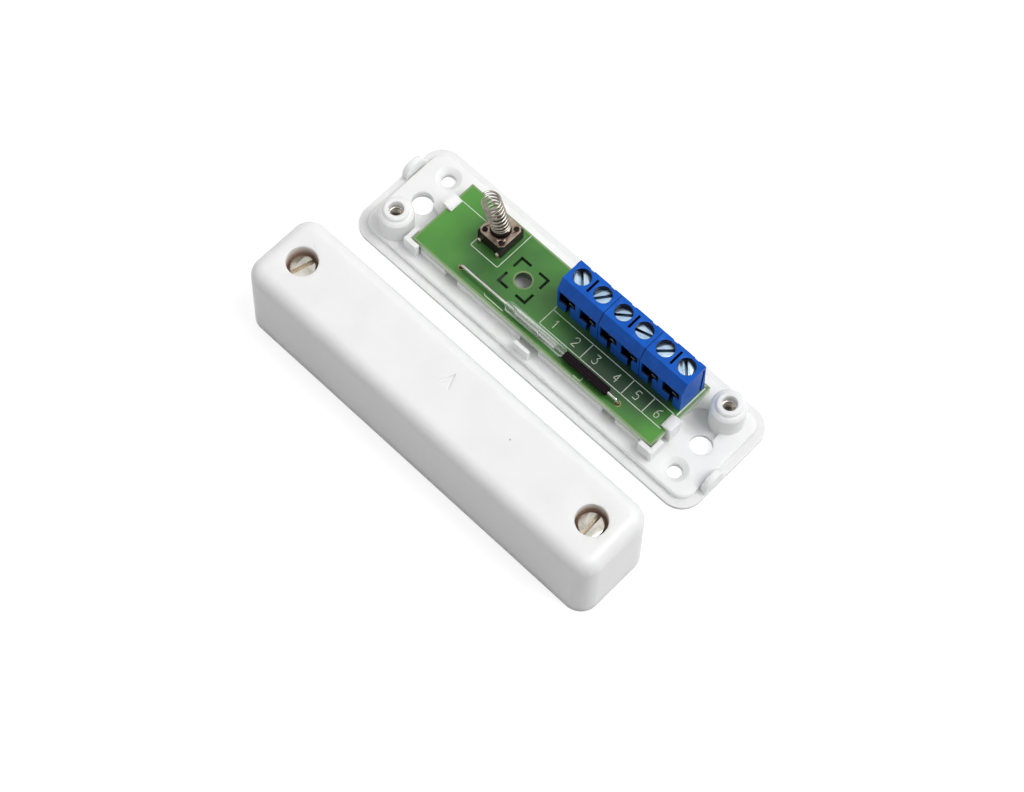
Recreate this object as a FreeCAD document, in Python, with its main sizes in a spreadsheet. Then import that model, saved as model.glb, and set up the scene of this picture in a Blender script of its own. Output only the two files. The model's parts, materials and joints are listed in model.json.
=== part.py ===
import FreeCAD, Part
import math
import os
import re
import Sketcher

# Magnetic door contact with screw terminals: an open switch unit (base, circuit board,
# reed switch, tamper switch with its spring, terminal blocks) beside its closed magnet unit.
# The origin is at the middle of the pair, on the surface that both units lie on.
# +X runs along both units, +Y from the magnet unit to the switch unit, +Z up.
# Inside each unit's own frame, x and y are counted from the middle of that unit's base.

SIZES = {
    # Both units
    "unit_length": 85.0,
    "unit_gap": 9.0,
    "corner_radius": 4.5,
    # Switch base
    "switch_width": 25.0,
    "flange_thickness": 0.9,
    "flange_rim": 1.7,
    "floor_top": 2.0,
    "floor_bevel": 0.3,
    "fixing_hole_inset": 7.1,
    "fixing_hole_diameter": 4.4,
    "small_hole_side_inset": 5.5,
    "small_hole_diameter": 2.9,
    "small_dish_diameter": 5.2,
    "small_dish_depth": 0.8,
    "boss_inset": 7.2,
    "boss_side_inset": 5.6,
    "boss_diameter": 6.8,
    "boss_top": 7.7,
    "boss_bevel": 0.5,
    "neck_diameter": 4.9,
    "neck_top": 8.6,
    "neck_bevel": 0.25,
    "boss_bore_diameter": 3.0,
    "knockout_inset": 9.54,
    "knockout_y": 2.8,
    "knockout_diameter": 6.96,
    "knockout_depth": 1.0,
    "tab_inset": 0.1,
    "tab_thickness": 1.3,
    "tab_y": 4.1,
    "tab_width": 4.9,
    "tab_spring_height": 2.0,
    "rib_thickness": 1.2,
    "rib_overhang": 0.1,
    "rib_inner_gap": 2.3,
    "rib_end_inset": 2.1,
    "rib_stretch": 6.4,
    "rib_break": 3.2,
    "corner_wall": 0.9,
    "corner_clearance": 0.3,
    "corner_arm_x": 3.2,
    "corner_arm_y": 3.4,
    "corner_rise": 0.1,
    "tongue_x": -0.3,
    "tongue_width": 3.6,
    "tongue_thickness": 0.7,
    "tongue_distance": 1.4,
    "tongue_top": 4.8,
    "clip_width": 3.0,
    "clip_clearance": 0.15,
    "clip_thickness": 1.85,
    "clip_nose": 0.5,
    "clip_nose_flat": 0.3,
    "clip_rise": 1.05,
    "clip_play": 0.1,
    "clip_slope": 1.4,
    # Threaded inserts
    "insert_diameter": 4.2,
    "insert_waist": 3.6,
    "insert_band": 1.6,
    "insert_length": 5.4,
    "insert_bottom": 1.2,
    "insert_bore": 2.5,
    "insert_clearance": 0.02,
    # Circuit board
    "board_end_margin": 12.5,
    "board_width": 16.0,
    "board_thickness": 1.6,
    "board_bottom": 3.9,
    "notch_depth": 1.0,
    "notch_width": 3.2,
    "notch_y": 2.35,
    "post_hole_x": -9.2,
    "post_hole_diameter": 3.6,
    "slot_half_length": 3.6,
    "slot_half_width": 3.45,
    "slot_arm": 2.6,
    "slot_cut": 0.55,
    "pin_end": 2.7,
    # Tamper switch
    "tamper_inset": 11.65,
    "tamper_y": 3.4,
    "tamper_side": 6.0,
    "tamper_body_height": 3.2,
    "tamper_plate_thickness": 0.3,
    "tamper_plate_chamfer": 0.7,
    "tamper_plate_hole": 3.9,
    "rivet_offset": 2.05,
    "rivet_diameter": 1.0,
    "rivet_rise": 0.05,
    "rivet_clearance": 0.03,
    "tamper_well_diameter": 4.6,
    "tamper_well_depth": 1.8,
    "button_flange_diameter": 4.4,
    "button_flange_thickness": 0.65,
    "button_play": 0.05,
    "button_diameter": 3.5,
    "button_rise": 1.0,
    "button_nub_diameter": 1.6,
    "button_nub_length": 0.6,
    "spigot_diameter": 2.0,
    "spigot_length": 1.4,
    "dome_diameter": 4.2,
    "dome_flat_diameter": 1.4,
    "dome_thickness": 0.08,
    "dome_gap": 0.03,
    "tamper_pin_spacing": 4.5,
    "tamper_pin_row": 3.25,
    "tamper_pin_width": 0.7,
    "tamper_pin_thickness": 0.3,
    "tamper_pin_height": 0.8,
    "tamper_pin_hole": 1.0,
    # Tamper spring
    "spring_base_diameter": 3.85,
    "spring_top_diameter": 3.45,
    "spring_wire": 0.42,
    "spring_length": 9.9,
    "spring_seat_clearance": 0.02,
    "spring_lean_x": -1.7,
    "spring_lean_y": -1.15,
    # Reed switch
    "reed_y": -6.1,
    "reed_height": 1.25,
    "glass_middle_x": -0.35,
    "glass_length": 14.7,
    "glass_diameter": 2.2,
    "glass_wall": 0.35,
    "glass_seal": 1.8,
    "glass_round": 0.6,
    "lead_diameter": 0.55,
    "lead_clearance": 0.01,
    "lead_left_inset": 10.7,
    "lead_right_inset": 9.9,
    "lead_bend": 0.8,
    "lead_hole": 0.9,
    "blade_width": 1.0,
    "blade_thickness": 0.2,
    "blade_overlap": 1.0,
    "blade_gap": 0.12,
    "sleeve_end_gap": 2.5,
    "sleeve_diameter": 1.75,
    # Terminal blocks
    "pole_pitch": 5.08,
    "terminal_end_margin": 0.82,
    "terminal_height": 10.0,
    "terminal_front": 0.3,
    "terminal_foot_front": 0.58,
    "terminal_top_front": 1.6,
    "terminal_top_back": 6.5,
    "terminal_foot_back": 7.35,
    "terminal_bevel_height": 2.8,
    "terminal_seam": 0.04,
    "well_y": 4.1,
    "well_clearance": 0.07,
    "chamber_wall": 0.55,
    "chamber_floor": 1.1,
    "chamber_roof_lip": 0.3,
    "chamber_back": 6.0,
    "entry_brow": 0.5,
    "entry_lip": 0.85,
    "sill_left_height": 2.3,
    "sill_right_height": 3.6,
    "sill_rise": 0.5,
    "cut_overrun": 1.0,
    "entry_notch_left": 2.25,
    "entry_notch_width": 1.0,
    "entry_notch_end": 2.4,
    "divider_slot_width": 0.35,
    "divider_slot_start": 2.6,
    "divider_slot_end": 5.6,
    "divider_slot_depth": 2.0,
    "back_notch_width": 1.0,
    "back_notch_shift": 0.4,
    "back_notch_depth": 0.5,
    "key_y": 6.1,
    "key_width": 0.5,
    "key_depth": 0.35,
    "key_clearance": 0.03,
    "key_drop": 0.9,
    # Terminal screws, clamps and contacts
    "screw_drop": 1.0,
    "screw_head_diameter": 3.26,
    "screw_head_height": 1.3,
    "screw_slot_width": 0.6,
    "screw_slot_depth": 0.7,
    "screw_shank_diameter": 2.06,
    "clamp_side_gap": 0.09,
    "clamp_front": 2.1,
    "clamp_back_gap": 0.06,
    "clamp_bottom": 1.5,
    "clamp_headroom": 1.4,
    "clamp_floor": 0.6,
    "clamp_side": 0.5,
    "clamp_head": 1.5,
    "thread_clearance": 0.04,
    "contact_side_gap": 0.2,
    "contact_thickness": 0.3,
    "contact_lip_front": 0.95,
    "contact_front": 2.0,
    "contact_gap": 0.5,
    "contact_foot_height": 1.15,
    "contact_foot_front": 3.7,
    "solder_pin_width": 0.9,
    "solder_pin_thickness": 0.6,
    "solder_pin_clearance": 0.1,
    "solder_pin_hole": 1.3,
    # Magnet unit
    "magnet_unit_width": 17.5,
    "magnet_unit_height": 19.5,
    "magnet_flange": 1.0,
    "cover_corner_radius": 3.75,
    "cover_top_radius": 3.0,
    "cover_draft": 1.0,
    "cover_wall": 1.6,
    "cover_screw_inset": 7.1,
    "recess_diameter": 5.95,
    "recess_depth": 4.0,
    "cover_boss_diameter": 8.6,
    "cover_screw_hole": 3.3,
    "arrow_x": -0.35,
    "arrow_foot_y": 0.3,
    "arrow_height": 3.1,
    "arrow_half_width": 1.3,
    "arrow_stroke": 0.42,
    "arrow_inner_drop": 1.0,
    "arrow_depth": 0.25,
    "step_height": 1.1,
    "step_clearance": 0.15,
    "pillar_diameter": 6.8,
    "pillar_height": 8.6,
    "pillar_gap": 0.2,
    "magnet_hole_inset": 15.5,
    "magnet_length": 40.0,
    "magnet_side": 6.0,
    "cradle_wall": 1.0,
    "cradle_length": 24.0,
    "cradle_height": 4.0,
    "cradle_clearance": 0.1,
    "cover_screw_head_diameter": 4.6,
    "cover_screw_head_height": 1.8,
    "cover_screw_shank": 2.9,
    "cover_screw_slot": 0.8,
    "cover_screw_slot_depth": 0.9,
    "cover_screw_reach": 4.0,
    "cover_screw_fit": 0.02,
}

POLES = 6
POLES_PER_BLOCK = 2
SPRING_TURNS = 14.5
COIL_STEPS = 12
WIRE_SIDES = 6

# Below this, in millimetres or cubic millimetres, two places or two volumes count as the same
TOUCH = 1e-4

# How far each driver slot is turned from the X direction, in degrees
TERMINAL_SLOT_TURNS = [134, 53, 39, 17, 44, 134]
COVER_SLOT_TURNS = {"left": 74, "right": 93}

# Places that several pieces share, worked out from the sizes above
SWITCH_Y = "(magnet_unit_width + unit_gap) / 2"
MAGNET_Y = "-(switch_width + unit_gap) / 2"
BOARD_END = "(unit_length / 2 - board_end_margin)"
BOARD_TOP = "(board_bottom + board_thickness)"
FIXING_HOLE_X = "(unit_length / 2 - fixing_hole_inset)"
SMALL_HOLE_Y = "(switch_width / 2 - small_hole_side_inset)"
BOSS_X = "(unit_length / 2 - boss_inset)"
BOSS_Y = "(switch_width / 2 - boss_side_inset)"
TAMPER_X = f"(tamper_inset - {BOARD_END})"
TAMPER_TOP = f"({BOARD_TOP} + tamper_body_height)"
BUTTON_TOP = f"({TAMPER_TOP} + tamper_plate_thickness + button_rise)"
REED_Z = f"({BOARD_TOP} + reed_height)"
GLASS_LEFT = "(glass_middle_x - glass_length / 2)"
GLASS_RIGHT = "(glass_middle_x + glass_length / 2)"
LEAD_LEFT_X = f"(lead_left_inset - {BOARD_END})"
LEAD_RIGHT_X = f"({BOARD_END} - lead_right_inset)"
TERMINAL_LEFT = f"({BOARD_END} - terminal_end_margin - {POLES} * pole_pitch)"
HEAD_BOTTOM = "(terminal_height - screw_drop - screw_head_height)"
CHAMBER_TOP = f"({HEAD_BOTTOM} - chamber_roof_lip)"
CLAMP_HEIGHT = f"({CHAMBER_TOP} - clamp_headroom - clamp_bottom)"
CLAMP_HEAD_BOTTOM = f"({CHAMBER_TOP} - clamp_headroom - clamp_head)"
CLAMP_WIDTH = "(pole_pitch - 2 * chamber_wall - 2 * clamp_side_gap)"
CONTACT_WIDTH = f"({CLAMP_WIDTH} - 2 * clamp_side - 2 * contact_side_gap)"
CONTACT_BACK = "(chamber_back - thread_clearance)"
CONTACT_TAB_TOP = f"({CLAMP_HEAD_BOTTOM} - contact_gap)"
MAGNET_FLOOR = "(magnet_flange + step_height)"
COVER_SCREW_X = "(unit_length / 2 - cover_screw_inset)"
COVER_SCREW_SEAT = "(magnet_unit_height - recess_depth)"
INSERT_CAVITY = "(insert_diameter + 2 * insert_clearance)"
INSERT_TOP = "(insert_bottom + insert_length)"

doc = FreeCAD.newDocument("DoorContact")
sheet = doc.addObject("Spreadsheet::Sheet", "Sizes")
for row, (alias, size) in enumerate(SIZES.items(), start=1):
    sheet.set(f"A{row}", alias)
    sheet.set(f"B{row}", str(size))
    sheet.setAlias(f"B{row}", alias)
doc.recompute()

NAME = re.compile(r"[a-z][a-z_]*")


def cell(formula):
    """The formula with each size's name turned into a reference to its cell."""
    return NAME.sub(lambda word: "Sizes." + word.group() if word.group() in SIZES else word.group(), formula)


def number(formula):
    """The formula's present value."""
    return float(sheet.evalExpression(cell(formula)))


def new_body(name, x="0", y="0", z="0"):
    """An empty body whose own frame stands at a place given by formulas."""
    body = doc.addObject("PartDesign::Body", name)
    body.Label = name
    for axis, formula in zip("xyz", (x, y, z)):
        body.setExpression(f"Placement.Base.{axis}", cell(formula))
    return body


def new_sketch(body, plane, offset="0"):
    """A sketch on one of the body's own planes: XY_Plane faces +Z, XZ_Plane -Y, YZ_Plane +X."""
    sketch = body.newObject("Sketcher::SketchObject", f"{body.Label}_sketch")
    support = [item for item in body.Origin.OriginFeatures if item.Role == plane][0]
    sketch.AttachmentSupport = (support, [""])
    sketch.MapMode = "FlatFace"
    sketch.setExpression("AttachmentOffset.Base.z", cell(offset))
    return sketch


def fix_point(sketch, element, end, x, y):
    """Tie a point of the sketch to formulas for its two coordinates."""
    for kind, formula in (("DistanceX", x), ("DistanceY", y)):
        index = sketch.addConstraint(Sketcher.Constraint(kind, element, end, number(formula)))
        sketch.setExpression(f"Constraints[{index}]", cell(formula))


def polygon(sketch, corners):
    """A closed outline through the given corners."""
    points = [FreeCAD.Vector(number(x), number(y), 0) for x, y in corners]
    first = sketch.GeometryCount
    count = len(points)
    for index, start in enumerate(points):
        sketch.addGeometry(Part.LineSegment(start, points[(index + 1) % count]))
    for index in range(count):
        follower = first + (index + 1) % count
        sketch.addConstraint(Sketcher.Constraint("Coincident", first + index, 2, follower, 1))
    for index, (x, y) in enumerate(corners):
        fix_point(sketch, first + index, 1, x, y)


def rectangle(sketch, left, right, low, high):
    polygon(sketch, [(left, low), (right, low), (right, high), (left, high)])


def centred_rectangle(sketch, length, width):
    rectangle(sketch, f"-({length}) / 2", f"({length}) / 2", f"-({width}) / 2", f"({width}) / 2")


def circle(sketch, x, y, diameter):
    centre = FreeCAD.Vector(number(x), number(y), 0)
    radius = number(diameter) / 2
    element = sketch.addGeometry(Part.Circle(centre, FreeCAD.Vector(0, 0, 1), radius))
    fix_point(sketch, element, 3, x, y)
    index = sketch.addConstraint(Sketcher.Constraint("Diameter", element, 2 * radius))
    sketch.setExpression(f"Constraints[{index}]", cell(diameter))


def arch(sketch, middle, width, springing):
    """An outline that stands on the floor and ends in a half round."""
    left = f"{middle} - {width} / 2"
    right = f"{middle} + {width} / 2"
    corners = [(left, springing), (left, "0"), (right, "0"), (right, springing)]
    points = [FreeCAD.Vector(number(x), number(y), 0) for x, y in corners]
    for start, end in zip(points, points[1:]):
        sketch.addGeometry(Part.LineSegment(start, end))
    centre = FreeCAD.Vector(number(middle), number(springing), 0)
    round_top = Part.Circle(centre, FreeCAD.Vector(0, 0, 1), number(width) / 2)
    sketch.addGeometry(Part.ArcOfCircle(round_top, 0, math.pi))
    joints = [(0, 2, 1, 1), (1, 2, 2, 1), (2, 2, 3, 1), (3, 2, 0, 1)]
    for first, first_end, second, second_end in joints:
        sketch.addConstraint(Sketcher.Constraint("Coincident", first, first_end, second, second_end))
    for index, (x, y) in enumerate(corners[:3]):
        fix_point(sketch, index, 1, x, y)
    fix_point(sketch, 2, 2, right, springing)
    index = sketch.addConstraint(Sketcher.Constraint("DistanceY", 3, 3, number(springing)))
    sketch.setExpression(f"Constraints[{index}]", cell(springing))


def finish(body, feature, grows):
    """Recompute, and make sure that the feature changed the solid the way it should."""
    before = feature.BaseFeature.Shape.Volume if feature.BaseFeature else 0.0
    doc.recompute()
    change = feature.Shape.Volume - before
    if (change > 0) != grows or abs(change) < TOUCH:
        raise RuntimeError(f"{body.Label}: {feature.Name} does not work on the solid")
    return feature


def pad(body, sketch, length, taper=None):
    """Material from the sketch along its normal."""
    feature = body.newObject("PartDesign::Pad", f"{body.Label}_pad")
    feature.Profile = sketch
    feature.setExpression("Length", cell(length))
    if taper:
        feature.setExpression("TaperAngle", cell(taper))
    return finish(body, feature, True)


def pocket(body, sketch, length, forward=False, taper=None):
    """A cut from the sketch, against its normal unless forward."""
    feature = body.newObject("PartDesign::Pocket", f"{body.Label}_pocket")
    feature.Profile = sketch
    feature.Reversed = forward
    feature.setExpression("Length", cell(length))
    if taper:
        feature.setExpression("TaperAngle", cell(taper))
    return finish(body, feature, False)


def revolve(body, corners):
    """A turned solid about the body's own Z axis, from its half section (radius, height)."""
    sketch = new_sketch(body, "XZ_Plane")
    polygon(sketch, corners)
    feature = body.newObject("PartDesign::Revolution", f"{body.Label}_turned")
    feature.Profile = sketch
    feature.ReferenceAxis = (sketch, ["V_Axis"])
    feature.Angle = 360
    return finish(body, feature, True)


def dress_edges(body, kind, size_name, size, chosen):
    """Add a dress-up feature to the edges of the body's last feature that the test picks."""
    base = body.Tip
    edges = [f"Edge{index}" for index, edge in enumerate(base.Shape.Edges, start=1) if chosen(edge)]
    feature = body.newObject(f"PartDesign::{kind}", f"{body.Label}_{kind.lower()}")
    feature.Base = (base, edges)
    feature.setExpression(size_name, cell(size))
    doc.recompute()


def round_edges(body, radius, chosen):
    """Round the edges that the test picks."""
    dress_edges(body, "Fillet", "Radius", radius, chosen)


def bevel_edges(body, width, chosen):
    """Cut the edges that the test picks at 45 degrees."""
    dress_edges(body, "Chamfer", "Size", width, chosen)


def upright(edge):
    """Whether an edge climbs rather than runs along the floor."""
    return abs(edge.Vertexes[0].Z - edge.Vertexes[-1].Z) > TOUCH


def at_height(height):
    """A test that picks the edges which lie at one height."""
    return lambda edge: all(abs(vertex.Z - height) < TOUCH for vertex in edge.Vertexes)


def rim(height, diameter):
    """A test that picks the round edges of one height and diameter."""
    def chosen(edge):
        curve = edge.Curve
        level = at_height(height)(edge)
        return level and hasattr(curve, "Radius") and abs(2 * curve.Radius - diameter) < TOUCH
    return chosen


def make_switch_base():
    body = new_body("switch_base", y=SWITCH_Y)
    sketch = new_sketch(body, "XY_Plane")
    centred_rectangle(sketch, "unit_length", "switch_width")
    pad(body, sketch, "flange_thickness")
    round_edges(body, "corner_radius", upright)
    add_raised_floor(body)
    cut_floor_openings(body)
    add_insert_bosses(body)
    add_board_supports(body)
    add_end_tabs(body)
    add_board_clips(body)
    return body


def add_raised_floor(body):
    """The inner floor stands above the flange that the missing cover sits on."""
    sketch = new_sketch(body, "XY_Plane", "flange_thickness")
    centred_rectangle(sketch, "unit_length - 2 * flange_rim", "switch_width - 2 * flange_rim")
    pad(body, sketch, "floor_top - flange_thickness")
    lowest = number("flange_thickness") - TOUCH
    upper = lambda edge: upright(edge) and edge.BoundBox.ZMin > lowest
    round_edges(body, "corner_radius - flange_rim", upper)
    bevel_edges(body, "floor_bevel", at_height(number("floor_top")))


def cut_floor_openings(body):
    """Fixing holes, dished small holes and the round knock-outs, each pair turned half round."""
    sketch = new_sketch(body, "XY_Plane", "floor_top")
    for sign in ("", "-"):
        circle(sketch, f"{sign}(unit_length / 2 - knockout_inset)", f"{sign}knockout_y", "knockout_diameter")
    pocket(body, sketch, "knockout_depth")
    sketch = new_sketch(body, "XY_Plane", "floor_top")
    for sign in ("", "-"):
        circle(sketch, f"{sign}{FIXING_HOLE_X}", "0", "fixing_hole_diameter")
    pocket(body, sketch, "floor_top")
    dish_angle = "atan((small_dish_diameter - small_hole_diameter) / 2 / small_dish_depth)"
    for diameter, depth, taper in (
        ("small_hole_diameter", "floor_top", None),
        ("small_dish_diameter", "small_dish_depth", f"-{dish_angle}"),
    ):
        sketch = new_sketch(body, "XY_Plane", "floor_top")
        circle(sketch, FIXING_HOLE_X, f"-{SMALL_HOLE_Y}", diameter)
        circle(sketch, f"-{FIXING_HOLE_X}", SMALL_HOLE_Y, diameter)
        pocket(body, sketch, depth, taper=taper)


def add_insert_bosses(body):
    """Two stepped bosses, each moulded round a threaded insert."""
    steps = [
        ("flange_thickness", "boss_diameter", "boss_top - flange_thickness"),
        ("boss_top", "neck_diameter", "neck_top - boss_top"),
    ]
    for start, diameter, length in steps:
        sketch = new_sketch(body, "XY_Plane", start)
        for sign in ("", "-"):
            circle(sketch, f"{sign}{BOSS_X}", f"{sign}{BOSS_Y}", diameter)
        pad(body, sketch, length)
    bevel_edges(body, "boss_bevel", rim(number("boss_top"), number("boss_diameter")))
    bevel_edges(body, "neck_bevel", rim(number("neck_top"), number("neck_diameter")))
    cuts = [
        ("neck_top", "boss_bore_diameter", f"neck_top - {INSERT_TOP}"),
        (INSERT_TOP, INSERT_CAVITY, "insert_length"),
    ]
    for start, diameter, length in cuts:
        sketch = new_sketch(body, "XY_Plane", start)
        for sign in ("", "-"):
            circle(sketch, f"{sign}{BOSS_X}", f"{sign}{BOSS_Y}", diameter)
        pocket(body, sketch, length)


def add_board_supports(body):
    """Ribs under both long edges of the board, corner walls and a tongue on the near side."""
    sketch = new_sketch(body, "XY_Plane", "floor_top")
    outer = "(board_width / 2 + rib_overhang)"
    rib_end = f"({BOARD_END} - rib_end_inset)"
    outer_start = f"({rib_end} - rib_stretch)"
    spans = [("rib_inner_gap", f"({outer_start} - rib_break)"), (outer_start, rib_end)]
    for start, end in spans:
        rectangle(sketch, start, end, f"-{outer}", f"-{outer} + rib_thickness")
        rectangle(sketch, f"-{end}", f"-{start}", f"-{outer}", f"-{outer} + rib_thickness")
        rectangle(sketch, start, end, f"{outer} - rib_thickness", outer)
        rectangle(sketch, f"-{end}", f"-{start}", f"{outer} - rib_thickness", outer)
    pad(body, sketch, "board_bottom - floor_top")
    sketch = new_sketch(body, "XY_Plane", "flange_thickness")
    inner_x = f"({BOARD_END} + corner_clearance)"
    inner_y = "(board_width / 2 + corner_clearance)"
    for sign in ("", "-"):
        outline = [
            (f"{sign}({inner_x} + corner_wall)", f"-({inner_y} + corner_wall)"),
            (f"{sign}({inner_x} + corner_wall)", f"-({inner_y} + corner_wall) + corner_arm_y"),
            (f"{sign}{inner_x}", f"-({inner_y} + corner_wall) + corner_arm_y"),
            (f"{sign}{inner_x}", f"-{inner_y}"),
            (f"{sign}({inner_x} + corner_wall - corner_arm_x)", f"-{inner_y}"),
            (f"{sign}({inner_x} + corner_wall - corner_arm_x)", f"-({inner_y} + corner_wall)"),
        ]
        polygon(sketch, outline)
    pad(body, sketch, f"{BOARD_TOP} + corner_rise - flange_thickness")
    sketch = new_sketch(body, "XY_Plane", "flange_thickness")
    near = "(board_width / 2 + tongue_distance)"
    left = "tongue_x - tongue_width / 2"
    rectangle(sketch, left, "tongue_x + tongue_width / 2", f"-{near} - tongue_thickness", f"-{near}")
    pad(body, sketch, "tongue_top - flange_thickness")


def add_end_tabs(body):
    """Arch-shaped upright plates on the flange, where a cable can be let in."""
    outer = "(unit_length / 2 - tab_inset)"
    for side, start in (("-", f"{outer} - tab_thickness"), ("", f"-{outer}")):
        sketch = new_sketch(body, "YZ_Plane", start)
        arch(sketch, f"{side}tab_y", "tab_width", "tab_spring_height")
        pad(body, sketch, "tab_thickness")


def add_board_clips(body):
    """Snap clips that stand in the board's end notches, with a nose over the board."""
    for sign, side in (("", "-"), ("-", "")):
        far = f"({side}notch_y + clip_width / 2)"
        inner = f"({BOARD_END} - notch_depth + clip_clearance)"
        hook = f"({BOARD_TOP} + clip_play)"
        top = f"({BOARD_TOP} + clip_rise)"
        outline = [
            (f"{sign}({inner} + clip_thickness)", "flange_thickness"),
            (f"{sign}({inner} + clip_thickness)", top),
            (f"{sign}({inner} - clip_nose + clip_slope)", top),
            (f"{sign}({inner} - clip_nose)", f"{hook} + clip_nose_flat"),
            (f"{sign}({inner} - clip_nose)", hook),
            (f"{sign}{inner}", hook),
            (f"{sign}{inner}", "flange_thickness"),
        ]
        sketch = new_sketch(body, "XZ_Plane", f"-{far}")
        polygon(sketch, outline)
        pad(body, sketch, "clip_width")


def make_insert(name, x, y):
    """A turned insert with a waist that the plastic grips, threaded all through."""
    body = new_body(name, x=x, y=y, z="insert_bottom")
    corners = [
        ("insert_bore / 2", "0"),
        ("insert_diameter / 2", "0"),
        ("insert_diameter / 2", "insert_band"),
        ("insert_waist / 2", "insert_band"),
        ("insert_waist / 2", "insert_length - insert_band"),
        ("insert_diameter / 2", "insert_length - insert_band"),
        ("insert_diameter / 2", "insert_length"),
        ("insert_bore / 2", "insert_length"),
    ]
    revolve(body, corners)
    return body


def pole_centre(pole):
    """A pole's place along the terminal blocks, as a formula."""
    return f"({TERMINAL_LEFT} + {pole + 0.5} * pole_pitch)"


def make_circuit_board():
    body = new_body("circuit_board", y=SWITCH_Y, z="board_bottom")
    sketch = new_sketch(body, "XY_Plane")
    end = BOARD_END
    side = "board_width / 2"
    inner = f"({BOARD_END} - notch_depth)"
    near = "(notch_y - notch_width / 2)"
    far = "(notch_y + notch_width / 2)"
    outline = [
        (f"-{end}", f"-{side}"), (end, f"-{side}"),
        (end, f"-{far}"), (inner, f"-{far}"), (inner, f"-{near}"), (end, f"-{near}"),
        (end, side), (f"-{end}", side),
        (f"-{end}", far), (f"-{inner}", far), (f"-{inner}", near), (f"-{end}", near),
    ]
    polygon(sketch, outline)
    pad(body, sketch, "board_thickness")
    sketch = new_sketch(body, "XY_Plane", "board_thickness")
    circle(sketch, "post_hole_x", "0", "post_hole_diameter")
    circle(sketch, LEAD_LEFT_X, "reed_y", "lead_hole")
    circle(sketch, LEAD_RIGHT_X, "reed_y", "lead_hole")
    for side_x in ("-", "+"):
        for side_y in ("-", "+"):
            x = f"{TAMPER_X} {side_x} tamper_pin_spacing / 2"
            y = f"tamper_y {side_y} tamper_pin_row"
            circle(sketch, x, y, "tamper_pin_hole")
    for pole in range(POLES):
        circle(sketch, pole_centre(pole), "well_y", "solder_pin_hole")
    pocket(body, sketch, "board_thickness")
    sketch = new_sketch(body, "XY_Plane", "board_thickness")
    for side_x in (1, -1):
        for side_y in (1, -1):
            corner_slot(sketch, side_x, side_y)
    pocket(body, sketch, "board_thickness")
    return body


def corner_slot(sketch, side_x, side_y):
    """One of the four angled slots round the hole in the board."""
    def point(x, y):
        return f"post_hole_x + {side_x} * ({x})", f"{side_y} * ({y})"
    outline = [
        point("slot_half_length", "slot_half_width"),
        point("slot_half_length - slot_arm", "slot_half_width"),
        point("slot_half_length - slot_arm", "slot_half_width - slot_cut"),
        point("slot_half_length - slot_cut", "slot_half_width - slot_cut"),
        point("slot_half_length - slot_cut", "slot_half_width - slot_arm"),
        point("slot_half_length", "slot_half_width - slot_arm"),
    ]
    polygon(sketch, outline)


def tamper_body(name, z):
    """A body centred on the tamper switch."""
    return new_body(name, x=TAMPER_X, y=f"{SWITCH_Y} + tamper_y", z=z)


def four_circles(sketch, offset, diameter):
    for x in ("", "-"):
        for y in ("", "-"):
            circle(sketch, f"{x}{offset}", f"{y}{offset}", diameter)


def make_tamper_switch_body():
    body = tamper_body("tamper_switch_body", BOARD_TOP)
    sketch = new_sketch(body, "XY_Plane")
    centred_rectangle(sketch, "tamper_side", "tamper_side")
    pad(body, sketch, "tamper_body_height")
    sketch = new_sketch(body, "XY_Plane", "tamper_body_height")
    circle(sketch, "0", "0", "tamper_well_diameter")
    pocket(body, sketch, "tamper_well_depth")
    sketch = new_sketch(body, "XY_Plane", "tamper_body_height")
    four_circles(sketch, "rivet_offset", "rivet_diameter")
    pad(body, sketch, "tamper_plate_thickness + rivet_rise")
    return body


def make_tamper_cover_plate():
    body = tamper_body("tamper_cover_plate", TAMPER_TOP)
    sketch = new_sketch(body, "XY_Plane")
    half = "tamper_side / 2"
    cut = "(tamper_side / 2 - tamper_plate_chamfer)"
    outline = [
        (half, f"-{cut}"), (half, cut), (cut, half), (f"-{cut}", half),
        (f"-{half}", cut), (f"-{half}", f"-{cut}"), (f"-{cut}", f"-{half}"), (cut, f"-{half}"),
    ]
    polygon(sketch, outline)
    circle(sketch, "0", "0", "tamper_plate_hole")
    four_circles(sketch, "rivet_offset", "rivet_diameter + 2 * rivet_clearance")
    pad(body, sketch, "tamper_plate_thickness")
    return body


def make_tamper_button():
    """The button's flange is held under the plate, and its spigot centres the spring."""
    body = tamper_body("tamper_button", f"{TAMPER_TOP} - button_play")
    stem = "(button_play + tamper_plate_thickness + button_rise)"
    flange = "-button_flange_thickness"
    corners = [
        ("0", f"{flange} - button_nub_length"),
        ("button_nub_diameter / 2", f"{flange} - button_nub_length"),
        ("button_nub_diameter / 2", flange),
        ("button_flange_diameter / 2", flange),
        ("button_flange_diameter / 2", "0"),
        ("button_diameter / 2", "0"),
        ("button_diameter / 2", stem),
        ("spigot_diameter / 2", stem),
        ("spigot_diameter / 2", f"{stem} + spigot_length"),
        ("0", f"{stem} + spigot_length"),
    ]
    revolve(body, corners)
    return body


def make_tamper_contact_dome():
    """The thin snap dome on the floor of the switch, just clear of the button's nub."""
    body = tamper_body("tamper_contact_dome", f"{TAMPER_TOP} - tamper_well_depth")
    nub = "(tamper_well_depth - button_play - button_flange_thickness - button_nub_length)"
    crown = f"({nub} - dome_gap)"
    corners = [
        ("0", f"{crown} - dome_thickness"),
        ("dome_flat_diameter / 2 - dome_thickness", f"{crown} - dome_thickness"),
        ("dome_diameter / 2 - dome_thickness", "0"),
        ("dome_diameter / 2", "0"),
        ("dome_flat_diameter / 2", crown),
        ("0", crown),
    ]
    revolve(body, corners)
    return body


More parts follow.
